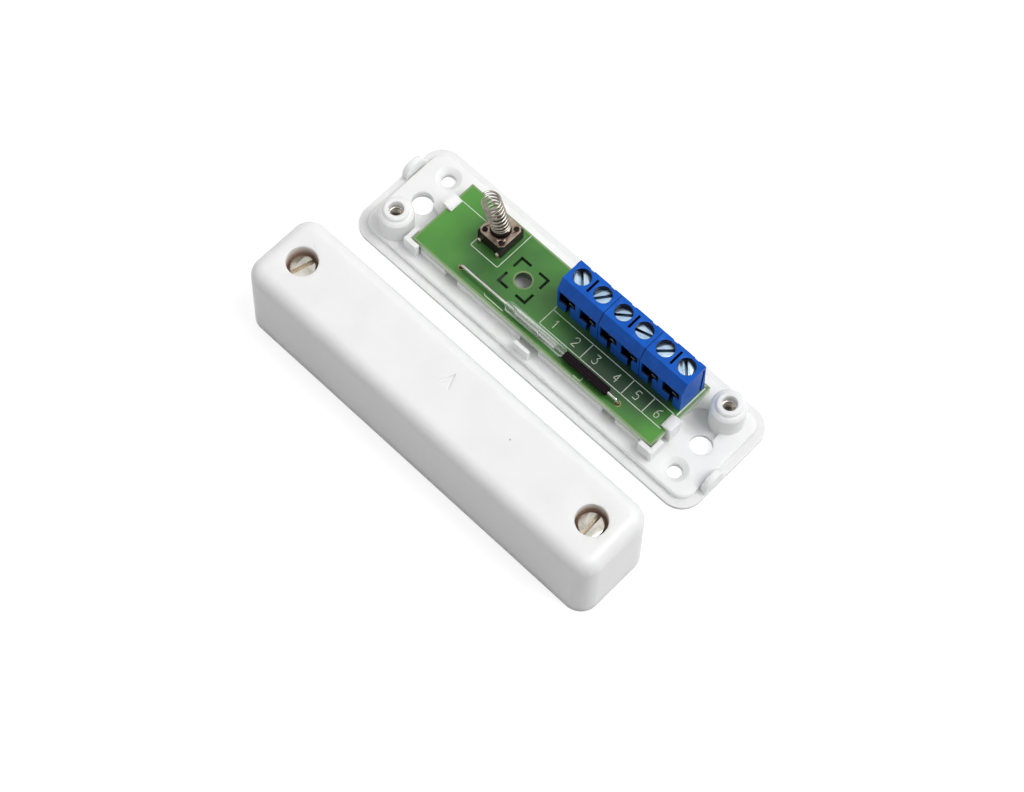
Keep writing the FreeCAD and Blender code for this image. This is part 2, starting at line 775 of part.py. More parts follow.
def make_tamper_switch_pins():
    """Four bent legs: out of the body's side, then down through the board."""
    pins = []
    for side_x in (-1, 1):
        for side_y in (-1, 1):
            body = tamper_body(f"tamper_pin_{len(pins) + 1}", BOARD_TOP)
            inner = f"{side_y} * tamper_side / 2"
            outer = f"{side_y} * (tamper_pin_row + tamper_pin_thickness / 2)"
            leg = f"{side_y} * (tamper_pin_row - tamper_pin_thickness / 2)"
            outline = [
                (inner, "tamper_pin_height"),
                (outer, "tamper_pin_height"),
                (outer, f"pin_end - {BOARD_TOP}"),
                (leg, f"pin_end - {BOARD_TOP}"),
                (leg, "tamper_pin_height - tamper_pin_thickness"),
                (inner, "tamper_pin_height - tamper_pin_thickness"),
            ]
            start = f"{side_x} * tamper_pin_spacing / 2 - tamper_pin_width / 2"
            sketch = new_sketch(body, "YZ_Plane", start)
            polygon(sketch, outline)
            pad(body, sketch, "tamper_pin_width")
            pins.append(body)
    group = doc.addObject("Part::Compound", "tamper_switch_pins")
    group.Label = "tamper_switch_pins"
    group.Links = pins
    doc.recompute()
    return group


def wire_ring(wire, around, reach, rise):
    """The wire's outline where it passes an angle of the coil, as a closed polygon."""
    outward = FreeCAD.Vector(math.cos(around), math.sin(around), 0)
    corners = []
    for side in range(WIRE_SIDES + 1):
        turn = math.tau * side / WIRE_SIDES
        upward = FreeCAD.Vector(0, 0, rise + wire / 2 * math.sin(turn))
        corners.append(outward * (reach + wire / 2 * math.cos(turn)) + upward)
    return Part.makePolygon(corners)


def make_tamper_spring():
    """A tapered coil spring that stands on the button and leans over towards its free end."""
    wire = number("spring_wire")
    radius = (number("spring_base_diameter") - wire) / 2
    top_radius = (number("spring_top_diameter") - wire) / 2
    height = number("spring_length") - wire
    count = round(SPRING_TURNS * COIL_STEPS)
    rings = []
    for index in range(count + 1):
        share = index / count
        around = math.tau * SPRING_TURNS * share
        reach = radius + (top_radius - radius) * share
        rings.append(wire_ring(wire, around, reach, height * share))
    coil = Part.makeLoft(rings, True, True)
    lean = FreeCAD.Matrix()
    lean.A13 = number("spring_lean_x") / height
    lean.A23 = number("spring_lean_y") / height
    spring = doc.addObject("Part::Feature", "tamper_spring")
    spring.Label = "tamper_spring"
    spring.Shape = coil.transformGeometry(lean)
    seat = f"{BUTTON_TOP} + spring_seat_clearance + spring_wire / 2"
    for axis, formula in zip("xyz", (TAMPER_X, f"{SWITCH_Y} + tamper_y", seat)):
        spring.setExpression(f"Placement.Base.{axis}", cell(formula))
    doc.recompute()
    return spring


def reed_body(name):
    """A body whose own Z axis runs along the reed switch, towards +X."""
    body = new_body(name, y=f"{SWITCH_Y} + reed_y", z=REED_Z)
    body.Placement.Rotation = FreeCAD.Rotation(FreeCAD.Vector(0, 1, 0), 90)
    return body


def make_reed_glass():
    """A sealed glass tube, drawn down on to a lead at each end."""
    body = reed_body("reed_glass")
    bore = "(lead_diameter / 2 + lead_clearance)"
    inner = "(glass_diameter / 2 - glass_wall)"
    outer = "(glass_diameter / 2)"
    corners = [
        (bore, GLASS_LEFT),
        (f"{outer} - glass_round", GLASS_LEFT),
        (outer, f"{GLASS_LEFT} + glass_round"),
        (outer, f"{GLASS_RIGHT} - glass_round"),
        (f"{outer} - glass_round", GLASS_RIGHT),
        (bore, GLASS_RIGHT),
        (bore, f"{GLASS_RIGHT} - glass_seal"),
        (inner, f"{GLASS_RIGHT} - glass_seal - glass_round"),
        (inner, f"{GLASS_LEFT} + glass_seal + glass_round"),
        (bore, f"{GLASS_LEFT} + glass_seal"),
    ]
    revolve(body, corners)
    return body


def make_reed_sleeve():
    body = reed_body("reed_sleeve")
    bore = "(lead_diameter / 2 + lead_clearance)"
    outer = "sleeve_diameter / 2"
    end = f"{LEAD_RIGHT_X} - sleeve_end_gap"
    revolve(body, [(bore, GLASS_RIGHT), (outer, GLASS_RIGHT), (outer, end), (bore, end)])
    return body


def make_reed_blade(name, side, seal, lead_x, height):
    """One lead: down through the board, along to the seal, then flattened into a reed."""
    body = new_body(name, y=f"{SWITCH_Y} + reed_y", z=REED_Z)
    root = f"({seal} - {side} * (glass_seal + glass_round))"
    path = new_sketch(body, "XZ_Plane")
    bend_x = number(f"{lead_x} - {side} * lead_bend")
    start = FreeCAD.Vector(number(root), 0, 0)
    turn = FreeCAD.Vector(bend_x, 0, 0)
    middle = FreeCAD.Vector(bend_x, -number("lead_bend"), 0)
    drop = FreeCAD.Vector(number(lead_x), -number("lead_bend"), 0)
    low = FreeCAD.Vector(number(lead_x), number(f"pin_end - {REED_Z}"), 0)
    bend = Part.Circle(middle, FreeCAD.Vector(0, 0, 1), number("lead_bend"))
    from_angle, to_angle = (0, math.pi / 2) if side > 0 else (math.pi / 2, math.pi)
    arc = Part.ArcOfCircle(bend, from_angle, to_angle)
    path.addGeometry([Part.LineSegment(start, turn), arc, Part.LineSegment(drop, low)])
    near_end, far_end = (2, 1) if side > 0 else (1, 2)
    path.addConstraint(Sketcher.Constraint("Coincident", 0, 2, 1, near_end))
    path.addConstraint(Sketcher.Constraint("Coincident", 1, far_end, 2, 1))
    fix_point(path, 0, 1, root, "0")
    fix_point(path, 0, 2, f"{lead_x} - {side} * lead_bend", "0")
    fix_point(path, 2, 1, lead_x, "-lead_bend")
    fix_point(path, 2, 2, lead_x, f"pin_end - {REED_Z}")
    section = new_sketch(body, "YZ_Plane", root)
    circle(section, "0", "0", "lead_diameter")
    feature = body.newObject("PartDesign::AdditivePipe", f"{name}_lead")
    feature.Profile = section
    feature.Spine = (path, [])
    finish(body, feature, True)
    tip = f"({side} * -blade_overlap / 2)"
    low_x, high_x = (tip, root) if side > 0 else (root, tip)
    sketch = new_sketch(body, "XY_Plane", height)
    rectangle(sketch, low_x, high_x, "-blade_width / 2", "blade_width / 2")
    pad(body, sketch, "blade_thickness")
    return body


def make_terminal_housing(block):
    """One two-way block: wells over the screws, clamp chambers and funnelled wire entries."""
    left = f"{TERMINAL_LEFT} + {block * POLES_PER_BLOCK} * pole_pitch + terminal_seam / 2"
    body = new_body(f"terminal_housing_{block + 1}", x=left, y=SWITCH_Y, z=BOARD_TOP)
    outline = [
        ("terminal_foot_front", "0"), ("terminal_foot_back", "0"),
        ("terminal_top_back", "terminal_height"), ("terminal_top_front", "terminal_height"),
        ("terminal_front", "terminal_height - terminal_bevel_height"),
    ]
    sketch = new_sketch(body, "YZ_Plane")
    polygon(sketch, outline)
    length = f"({POLES_PER_BLOCK} * pole_pitch - terminal_seam)"
    pad(body, sketch, length)
    for pole in range(POLES_PER_BLOCK):
        cut_pole(body, f"({pole} * pole_pitch - terminal_seam / 2)")
    sketch = new_sketch(body, "XY_Plane", "terminal_height")
    middle = f"({length} / 2)"
    half = "divider_slot_width / 2"
    rectangle(sketch, f"{middle} - {half}", f"{middle} + {half}", "divider_slot_start", "divider_slot_end")
    pocket(body, sketch, "divider_slot_depth")
    cut_key(body, length)
    return body


def cut_pole(body, left):
    centre = f"({left} + pole_pitch / 2)"
    sketch = new_sketch(body, "XY_Plane", "terminal_height")
    circle(sketch, centre, "well_y", "screw_head_diameter + 2 * well_clearance")
    pocket(body, sketch, f"terminal_height - {CHAMBER_TOP}")
    notch_right = "(entry_notch_left + entry_notch_width)"
    stretches = [
        ("chamber_wall", "entry_notch_left", "sill_left_height"),
        ("entry_notch_left", notch_right, "0"),
        (notch_right, "pole_pitch - chamber_wall", "sill_right_height"),
    ]
    for start, end, sill in stretches:
        cut_entry(body, f"{left} + {start}", f"{end} - {start}", sill)
    sketch = new_sketch(body, "XY_Plane", "chamber_floor")
    half_x = "(solder_pin_width / 2 + solder_pin_clearance)"
    half_y = "(solder_pin_thickness / 2 + solder_pin_clearance)"
    near, far = f"well_y - {half_y}", f"well_y + {half_y}"
    rectangle(sketch, f"{centre} - {half_x}", f"{centre} + {half_x}", near, far)
    pocket(body, sketch, "chamber_floor")
    sketch = new_sketch(body, "XY_Plane", "terminal_height")
    notch = f"({centre} + back_notch_shift)"
    start = "terminal_top_back - back_notch_depth"
    half = "back_notch_width / 2"
    rectangle(sketch, f"{notch} - {half}", f"{notch} + {half}", start, "terminal_foot_back")
    pocket(body, sketch, "back_notch_depth")


def cut_entry(body, start, width, sill):
    """A stretch of the wire entry and of the chamber behind it, over a sill that slopes inwards."""
    sketch = new_sketch(body, "YZ_Plane", start)
    front = "(terminal_front - cut_overrun)"
    entry_top = f"({CHAMBER_TOP} - entry_brow)"
    if sill == "0":
        low = [(front, sill), ("entry_notch_end", sill), ("entry_notch_end", "chamber_floor")]
    else:
        low = [
            (front, sill),
            ("terminal_foot_front", sill),
            ("entry_lip", f"{sill} + sill_rise"),
            ("entry_lip", "chamber_floor"),
        ]
    outline = low + [
        ("chamber_back", "chamber_floor"),
        ("chamber_back", CHAMBER_TOP),
        ("entry_lip", CHAMBER_TOP),
        ("entry_lip", entry_top),
        (front, entry_top),
    ]
    polygon(sketch, outline)
    pocket(body, sketch, width, forward=True)


def cut_key(body, length):
    """The block's key on its left face and the matching groove in its right face."""
    sketch = new_sketch(body, "XY_Plane", "0")
    rectangle(sketch, "-key_depth", "0", "key_y - key_width / 2", "key_y + key_width / 2")
    pad(body, sketch, "terminal_height - key_drop")
    sketch = new_sketch(body, "XY_Plane", "terminal_height - key_drop + key_clearance")
    half = "(key_width / 2 + key_clearance)"
    depth = "(key_depth + key_clearance)"
    rectangle(sketch, f"{length} - {depth}", length, f"key_y - {half}", f"key_y + {half}")
    pocket(body, sketch, "terminal_height - key_drop + key_clearance")


def make_terminal_screw(pole):
    """A slotted screw that stays at its height and lifts the clamp as it turns."""
    z = f"{BOARD_TOP} + terminal_height - screw_drop"
    body = new_body(f"terminal_screw_{pole + 1}", x=pole_centre(pole), y=f"{SWITCH_Y} + well_y", z=z)
    body.Placement.Rotation = FreeCAD.Rotation(FreeCAD.Vector(0, 0, 1), TERMINAL_SLOT_TURNS[pole])
    shank_end = f"-screw_head_height - ({HEAD_BOTTOM} - {CLAMP_HEAD_BOTTOM})"
    corners = [
        ("0", shank_end),
        ("screw_shank_diameter / 2", shank_end),
        ("screw_shank_diameter / 2", "-screw_head_height"),
        ("screw_head_diameter / 2", "-screw_head_height"),
        ("screw_head_diameter / 2", "0"),
        ("0", "0"),
    ]
    revolve(body, corners)
    cut_slot(body, "screw_head_diameter", "screw_slot_width", "screw_slot_depth")
    return body


def cut_slot(body, length, width, depth):
    """A driver slot across the top of a screw whose head ends at the body's own origin."""
    sketch = new_sketch(body, "XY_Plane")
    centred_rectangle(sketch, length, width)
    pocket(body, sketch, depth)


def make_terminal_clamp(pole):
    """A square cage round the wire, with the screw's thread through its thick head."""
    name = f"terminal_clamp_{pole + 1}"
    body = new_body(name, x=pole_centre(pole), y=SWITCH_Y, z=f"{BOARD_TOP} + clamp_bottom")
    back = f"({CONTACT_BACK} - contact_thickness - clamp_back_gap)"
    sketch = new_sketch(body, "XZ_Plane", f"-{back}")
    rectangle(sketch, f"-{CLAMP_WIDTH} / 2", f"{CLAMP_WIDTH} / 2", "0", CLAMP_HEIGHT)
    inner = f"({CLAMP_WIDTH} / 2 - clamp_side)"
    rectangle(sketch, f"-{inner}", inner, "clamp_floor", f"{CLAMP_HEIGHT} - clamp_head")
    pad(body, sketch, f"{back} - clamp_front")
    sketch = new_sketch(body, "XY_Plane", CLAMP_HEIGHT)
    circle(sketch, "0", "well_y", "screw_shank_diameter + 2 * thread_clearance")
    pocket(body, sketch, "clamp_head")
    return body


def make_terminal_contact(pole):
    """The fixed contact: a lipped tab through the clamp, a back leg, a foot and the solder pin."""
    name = f"terminal_contact_{pole + 1}"
    body = new_body(name, x=pole_centre(pole), y=SWITCH_Y, z=BOARD_TOP)
    sketch = new_sketch(body, "YZ_Plane", f"-{CONTACT_WIDTH} / 2")
    outline = [
        ("contact_lip_front", CONTACT_TAB_TOP),
        (CONTACT_BACK, CONTACT_TAB_TOP),
        (CONTACT_BACK, "contact_foot_height"),
        ("contact_foot_front", "contact_foot_height"),
        ("contact_foot_front", "contact_foot_height + contact_thickness"),
        (f"{CONTACT_BACK} - contact_thickness", "contact_foot_height + contact_thickness"),
        (f"{CONTACT_BACK} - contact_thickness", f"{CONTACT_TAB_TOP} - contact_thickness"),
        ("contact_lip_front", f"{CONTACT_TAB_TOP} - contact_thickness"),
    ]
    polygon(sketch, outline)
    pad(body, sketch, CONTACT_WIDTH)
    sketch = new_sketch(body, "XY_Plane", CONTACT_TAB_TOP)
    rectangle(sketch, f"-{CONTACT_WIDTH} / 2", "0", "contact_lip_front", "contact_front")
    pocket(body, sketch, "contact_thickness")
    sketch = new_sketch(body, "XY_Plane", f"pin_end - {BOARD_TOP}")
    half_x = "solder_pin_width / 2"
    half_y = "solder_pin_thickness / 2"
    rectangle(sketch, f"-{half_x}", half_x, f"well_y - {half_y}", f"well_y + {half_y}")
    pad(body, sketch, f"contact_foot_height + contact_thickness / 2 - pin_end + {BOARD_TOP}")
    return body


def make_magnet_cover():
    """The drafted white cover with rounded top, sunk screw holes and an engraved arrow."""
    body = new_body("magnet_cover", y=MAGNET_Y)
    sketch = new_sketch(body, "XY_Plane", "magnet_flange")
    centred_rectangle(sketch, "unit_length", "magnet_unit_width")
    pad(body, sketch, "magnet_unit_height - magnet_flange", taper="-cover_draft")
    round_edges(body, "cover_corner_radius", upright)
    round_edges(body, "cover_top_radius", at_height(number("magnet_unit_height")))
    sketch = new_sketch(body, "XY_Plane", "magnet_flange")
    centred_rectangle(sketch, "unit_length - 2 * cover_wall", "magnet_unit_width - 2 * cover_wall")
    depth = "magnet_unit_height - magnet_flange - cover_wall"
    pocket(body, sketch, depth, forward=True, taper="-cover_draft")
    sketch = new_sketch(body, "XY_Plane", "pillar_height + pillar_gap")
    for sign in ("", "-"):
        circle(sketch, f"{sign}{COVER_SCREW_X}", "0", "cover_boss_diameter")
    pad(body, sketch, "magnet_unit_height - pillar_height - pillar_gap - cover_wall / 2")
    through = "magnet_unit_height - pillar_height - pillar_gap"
    for diameter, depth in (("cover_screw_hole", through), ("recess_diameter", "recess_depth")):
        sketch = new_sketch(body, "XY_Plane", "magnet_unit_height")
        for sign in ("", "-"):
            circle(sketch, f"{sign}{COVER_SCREW_X}", "0", diameter)
        pocket(body, sketch, depth)
    engrave_arrow(body)
    return body


def engrave_arrow(body):
    """An open arrowhead that points towards the switch unit."""
    tip = "(arrow_foot_y + arrow_height)"
    outline = [
        ("arrow_x - arrow_half_width", "arrow_foot_y"),
        ("arrow_x - arrow_half_width + arrow_stroke", "arrow_foot_y"),
        ("arrow_x", f"{tip} - arrow_inner_drop"),
        ("arrow_x + arrow_half_width - arrow_stroke", "arrow_foot_y"),
        ("arrow_x + arrow_half_width", "arrow_foot_y"),
        ("arrow_x", tip),
    ]
    sketch = new_sketch(body, "XY_Plane", "magnet_unit_height")
    polygon(sketch, outline)
    pocket(body, sketch, "arrow_depth")


def make_magnet_base():
    """The flange under the cover, with screw pillars, fixing holes and the magnet's cradle."""
    body = new_body("magnet_base", y=MAGNET_Y)
    sketch = new_sketch(body, "XY_Plane")
    centred_rectangle(sketch, "unit_length", "magnet_unit_width")
    pad(body, sketch, "magnet_flange")
    round_edges(body, "cover_corner_radius", upright)
    inset = "2 * (cover_wall + step_clearance)"
    sketch = new_sketch(body, "XY_Plane", "magnet_flange")
    centred_rectangle(sketch, f"unit_length - {inset}", f"magnet_unit_width - {inset}")
    pad(body, sketch, "step_height")
    sketch = new_sketch(body, "XY_Plane", MAGNET_FLOOR)
    for sign in ("", "-"):
        circle(sketch, f"{sign}{COVER_SCREW_X}", "0", "pillar_diameter")
    pad(body, sketch, f"pillar_height - {MAGNET_FLOOR}")
    sketch = new_sketch(body, "XY_Plane", MAGNET_FLOOR)
    side = "(magnet_side / 2 + cradle_clearance)"
    end = "(magnet_length / 2 + cradle_clearance)"
    half = "cradle_length / 2"
    rectangle(sketch, f"-{half}", half, side, f"{side} + cradle_wall")
    rectangle(sketch, f"-{half}", half, f"-{side} - cradle_wall", f"-{side}")
    rectangle(sketch, end, f"{end} + cradle_wall", "-magnet_side / 2", "magnet_side / 2")
    rectangle(sketch, f"-{end} - cradle_wall", f"-{end}", "-magnet_side / 2", "magnet_side / 2")
    pad(body, sketch, "cradle_height")
    magnet_hole_x = "(unit_length / 2 - magnet_hole_inset)"
    cuts = [
        ("pillar_height", COVER_SCREW_X, "boss_bore_diameter", f"pillar_height - {INSERT_TOP}"),
        (INSERT_TOP, COVER_SCREW_X, INSERT_CAVITY, "insert_length"),
        (MAGNET_FLOOR, magnet_hole_x, "fixing_hole_diameter", MAGNET_FLOOR),
    ]
    for start, x, diameter, depth in cuts:
        sketch = new_sketch(body, "XY_Plane", start)
        for sign in ("", "-"):
            circle(sketch, f"{sign}{x}", "0", diameter)
        pocket(body, sketch, depth)
    return body


def make_bar_magnet():
    body = new_body("bar_magnet", y=MAGNET_Y, z=MAGNET_FLOOR)
    sketch = new_sketch(body, "XY_Plane")
    centred_rectangle(sketch, "magnet_length", "magnet_side")
    pad(body, sketch, "magnet_side")
    return body


def make_cover_screw(side, x):
    """A slotted screw, sunk in the cover, whose end is held by the pillar's insert."""
    z = f"{COVER_SCREW_SEAT} + cover_screw_head_height"
    body = new_body(f"magnet_cover_screw_{side}", x=x, y=MAGNET_Y, z=z)
    body.Placement.Rotation = FreeCAD.Rotation(FreeCAD.Vector(0, 0, 1), COVER_SLOT_TURNS[side])
    thread = "(insert_bore / 2 - cover_screw_fit)"
    head = "-cover_screw_head_height"
    thread_top = f"(pillar_height - {COVER_SCREW_SEAT} - cover_screw_head_height)"
    thread_end = f"({INSERT_TOP} - cover_screw_reach - {COVER_SCREW_SEAT} - cover_screw_head_height)"
    corners = [
        ("0", thread_end), (thread, thread_end), (thread, thread_top),
        ("cover_screw_shank / 2", thread_top), ("cover_screw_shank / 2", head),
        ("cover_screw_head_diameter / 2", head), ("cover_screw_head_diameter / 2", "0"), ("0", "0"),
    ]
    revolve(body, corners)
    cut_slot(body, "cover_screw_head_diameter", "cover_screw_slot", "cover_screw_slot_depth")
    return body


def make_all():
    """Every sub-part, in the order of taking the object apart."""
    parts = [
        make_switch_base(),
        make_insert("switch_insert_right", BOSS_X, f"{SWITCH_Y} + {BOSS_Y}"),
        make_insert("switch_insert_left", f"-{BOSS_X}", f"{SWITCH_Y} - {BOSS_Y}"),
        make_circuit_board(),
        make_tamper_switch_body(),
        make_tamper_cover_plate(),
        make_tamper_button(),
        make_tamper_contact_dome(),
        make_tamper_switch_pins(),
        make_tamper_spring(),
        make_reed_glass(),
        make_reed_blade("reed_blade_left", -1, GLASS_LEFT, LEAD_LEFT_X, "blade_gap / 2"),
        make_reed_blade("reed_blade_right", 1, GLASS_RIGHT, LEAD_RIGHT_X, "-blade_gap / 2 - blade_thickness"),
        make_reed_sleeve(),
        make_magnet_cover(),
        make_magnet_base(),
        make_bar_magnet(),
        make_insert("magnet_insert_right", COVER_SCREW_X, MAGNET_Y),
        make_insert("magnet_insert_left", f"-{COVER_SCREW_X}", MAGNET_Y),
        make_cover_screw("right", COVER_SCREW_X),
        make_cover_screw("left", f"-{COVER_SCREW_X}"),
    ]
    parts += [make_terminal_housing(block) for block in range(POLES // POLES_PER_BLOCK)]
    for make in (make_terminal_screw, make_terminal_clamp, make_terminal_contact):
        parts += [make(pole) for pole in range(POLES)]
    return parts


def check(parts):
    """Stop before writing anything if a feature failed or a solid is not sound."""
    doc.recompute()
    for item in doc.Objects:
        if {"Invalid", "Error"} & set(item.State):
            raise RuntimeError(f"{item.Name} is in state {item.State}")
    for part in parts:
        if part.Shape.isNull() or not part.Shape.isValid() or not part.Shape.Solids:
            raise RuntimeError(f"{part.Label} has no sound solid")


def write(parts):
    os.makedirs("parts", exist_ok=True)
    for part in parts:
        part.Shape.exportStep(f"parts/{part.Label}.step")
        print(part.Label, len(part.Shape.Solids), round(part.Shape.Volume, 3))


all_parts = make_all()
check(all_parts)
write(all_parts)
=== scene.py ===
# %% [markdown]
# A magnetic door contact is a pair: a switch unit with a glass reed switch on a small circuit
# board, and a magnet unit that holds it shut. The frame brings in every solid piece at its real
# size. This file gives each one its surface and adds the fine things that solids leave out, such
# as white print, screw threads and the spring's uneven turns.

# %% Load the frame and keep its box
import json
import math
import bmesh
import bpy
from mathutils import Matrix, Vector


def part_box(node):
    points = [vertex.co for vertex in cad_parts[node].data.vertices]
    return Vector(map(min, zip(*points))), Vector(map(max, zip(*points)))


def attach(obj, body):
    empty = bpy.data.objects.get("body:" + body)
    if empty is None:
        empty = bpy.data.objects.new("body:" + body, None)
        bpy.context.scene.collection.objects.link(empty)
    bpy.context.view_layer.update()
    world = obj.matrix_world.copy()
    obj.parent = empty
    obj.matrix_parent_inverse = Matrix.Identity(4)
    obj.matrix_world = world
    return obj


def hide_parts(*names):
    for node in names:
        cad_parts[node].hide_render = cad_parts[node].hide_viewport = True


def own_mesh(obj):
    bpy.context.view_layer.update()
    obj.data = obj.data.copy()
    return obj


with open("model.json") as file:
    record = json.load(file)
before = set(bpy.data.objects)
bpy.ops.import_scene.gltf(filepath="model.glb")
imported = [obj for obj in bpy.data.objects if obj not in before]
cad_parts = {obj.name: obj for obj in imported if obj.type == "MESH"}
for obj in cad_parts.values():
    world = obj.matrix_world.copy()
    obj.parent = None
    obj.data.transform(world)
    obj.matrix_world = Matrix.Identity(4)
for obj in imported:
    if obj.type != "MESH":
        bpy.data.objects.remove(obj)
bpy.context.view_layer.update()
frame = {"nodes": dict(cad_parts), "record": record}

nodes = frame["nodes"]
MM = 0.001


def in_mm(values):
    """Lengths in rounded millimetres, for what the cells print."""
    return [round(value / MM, 2) for value in values]


# %% [markdown]
# Lengths on the drawing of this contact are in millimetres, counted from the middle of the
# circuit board. The board's box gives that middle, so a place on the board is written as on the
# drawing and turned into the shared frame by one small function.

# %% Find the board and name places on it
board_low, board_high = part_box("circuit_board")
board_middle = (board_low + board_high) / 2
BOARD_TOP = board_high.z


def on_board(x, y, above=0.0):
    """The point of the shared frame that lies over a place on the board."""
    return Vector((board_middle.x + x * MM, board_middle.y + y * MM, BOARD_TOP + above * MM))


print("board middle in mm:", in_mm(board_middle))

# %% [markdown]
# Every finish here is made of the same few things: a base colour that drifts a little over the
# piece, a roughness that does the same, and a fine bump. Moulded plastic, plate and wire differ in
# their sizes and strengths, so one function builds the nodes and each finish only names its values.
# The patterns read Object coordinates, because each piece lies in the frame with its own place.

# %% A function for finishes
NOISE_LOW = 0.3
NOISE_HIGH = 0.7


def open_up(material):
    """A material's nodes, its links and its main shader."""
    material.use_nodes = True
    tree = material.node_tree
    return tree.nodes, tree.links, tree.nodes["Principled BSDF"]


def noise(nodes_of, links, coords, scale, detail=3.0):
    """A noise field in the object's own coordinates."""
    field = nodes_of.new("ShaderNodeTexNoise")
    field.inputs["Scale"].default_value = scale
    field.inputs["Detail"].default_value = detail
    links.new(coords, field.inputs["Vector"])
    return field.outputs["Fac"]


def ramp(nodes_of, links, value, start, end, low, high):
    """A value that runs from low to high while a coordinate runs from start to end."""
    node = nodes_of.new("ShaderNodeMapRange")
    for name, number in (("From Min", start), ("From Max", end), ("To Min", low), ("To Max", high)):
        node.inputs[name].default_value = number
    links.new(value, node.inputs["Value"])
    return node.outputs["Result"]


def span(nodes_of, links, value, low, high):
    """A noise, most of which lies between its usual low and high, spread from low to high."""
    return ramp(nodes_of, links, value, NOISE_LOW, NOISE_HIGH, low, high)


def mix_colour(nodes_of, links, factor, first, second):
    """Blend two colours, each a tuple or another node's output."""
    node = nodes_of.new("ShaderNodeMix")
    node.data_type = "RGBA"
    links.new(factor, node.inputs[0])
    for socket, colour in ((node.inputs[6], first), (node.inputs[7], second)):
        if isinstance(colour, tuple):
            socket.default_value = (*colour, 1.0)
        else:
            links.new(colour, socket)
    return node.outputs[2]


def calc(nodes_of, links, operation, *values):
    """A step of arithmetic on node outputs and plain numbers."""
    node = nodes_of.new("ShaderNodeMath")
    node.operation = operation
    for socket, value in zip(node.inputs, values):
        if isinstance(value, (int, float)):
            socket.default_value = value
        else:
            links.new(value, socket)
    return node.outputs[0]


def beyond(nodes_of, links, value, middle, reach):
    """One where a coordinate lies further than reach from the middle, zero nearer."""
    offset = calc(nodes_of, links, "SUBTRACT", value, middle)
    distance = calc(nodes_of, links, "ABSOLUTE", offset)
    return calc(nodes_of, links, "GREATER_THAN", distance, reach)


def tint(nodes_of, links, shader, mask, colour):
    """Lay a colour over a shader's own, as far as a mask goes."""
    base = shader.inputs["Base Color"]
    links.new(mix_colour(nodes_of, links, mask, base.links[0].from_socket, colour), base)


def emboss(nodes_of, links, shader, height, depth):
    """Raise the surface by a pattern, up to a depth in millimetres."""
    relief = nodes_of.new("ShaderNodeBump")
    relief.inputs["Strength"].default_value = 1.0
    relief.inputs["Distance"].default_value = depth * MM
    links.new(height, relief.inputs["Height"])
    links.new(relief.outputs["Normal"], shader.inputs["Normal"])


def finish(name, dark, light, rough, grain, bump=0.0, bump_size=0.05, metal=0.0, specular=0.5):
    """A finish whose colour and roughness drift with a coarse grain, under a fine bump."""
    material = bpy.data.materials.new(name)
    nodes_of, links, shader = open_up(material)
    coords = nodes_of.new("ShaderNodeTexCoord").outputs["Object"]
    drift = noise(nodes_of, links, coords, 1 / (grain * MM))
    colour = mix_colour(nodes_of, links, span(nodes_of, links, drift, 0, 1), dark, light)
    links.new(colour, shader.inputs["Base Color"])
    links.new(span(nodes_of, links, drift, *rough), shader.inputs["Roughness"])
    shader.inputs["Metallic"].default_value = metal
    shader.inputs["Specular IOR Level"].default_value = specular
    if bump:
        fine = noise(nodes_of, links, coords, 1 / (bump_size * MM), detail=2.0)
        emboss(nodes_of, links, shader, fine, bump)
    return material


# %% [markdown]
# The housings are white ABS with a fine spark-eroded skin, so they are nearly matt with a soft
# sheen, and a little light soaks into them and softens every shadow. The terminal blocks are a
# smoother blue nylon. The metals are plated: bright tin on the leads, dull nickel on the cover
# screws, bluish zinc on the terminal screws. Small metal parts get no bump at all, because on a
# part of three millimetres even a fine one reads as glitter.

# %% The plain finishes
SOAK_SHARE = 0.7
SOAK_DEPTH = 1.8

white_plastic = finish(
    "white plastic", (0.82, 0.825, 0.82), (0.86, 0.86, 0.86), (0.40, 0.48), 6.0, 0.005, 0.25,
)
white_shader = white_plastic.node_tree.nodes["Principled BSDF"]
white_shader.inputs["Subsurface Weight"].default_value = SOAK_SHARE
white_shader.inputs["Subsurface Radius"].default_value = (1.0, 1.0, 1.0)
white_shader.inputs["Subsurface Scale"].default_value = SOAK_DEPTH * MM
dark_plastic = finish(
    "dark plastic", (0.007, 0.003, 0.004), (0.016, 0.008, 0.009), (0.4, 0.55),
    1.0, 0.004, 0.15, specular=0.2,
)
tinned = finish(
    "tinned metal", (0.58, 0.57, 0.53), (0.80, 0.79, 0.75), (0.10, 0.18), 2.5, metal=1.0,
)
plated = finish(
    "plated copper", (0.22, 0.20, 0.08), (0.36, 0.33, 0.15), (0.3, 0.42), 1.5, metal=1.0,
)
gold_tin = finish(
    "yellow tin", (0.78, 0.72, 0.52), (0.92, 0.88, 0.70), (0.32, 0.45), 1.5, metal=1.0,
)
nickel = finish("nickel plate", (0.50, 0.46, 0.41), (0.70, 0.66, 0.61), (0.2, 0.3), 2.0, metal=1.0)
# This brass is far darker than bare brass: painted shade for the clamps, which sit deep inside the
# terminal chambers.
brass = finish("brass", (0.12, 0.085, 0.04), (0.34, 0.23, 0.09), (0.3, 0.45), 1.6, metal=1.0)
spring_wire = finish(
    "spring wire", (0.28, 0.245, 0.21), (0.52, 0.48, 0.42), (0.12, 0.2), 3.0, metal=1.0,
)
brown_plate = finish(
    "brown plate", (0.26, 0.18, 0.135), (0.52, 0.41, 0.33), (0.26, 0.34), 1.6, metal=0.9,
)
ferrite = finish("ferrite", (0.03, 0.03, 0.032), (0.06, 0.06, 0.062), (0.5, 0.7), 0.8, 0.01, 0.15)
white_print = finish("white print", (0.55, 0.63, 0.50), (0.70, 0.77, 0.66), (0.5, 0.6), 0.7)
print("finishes:", len(bpy.data.materials))

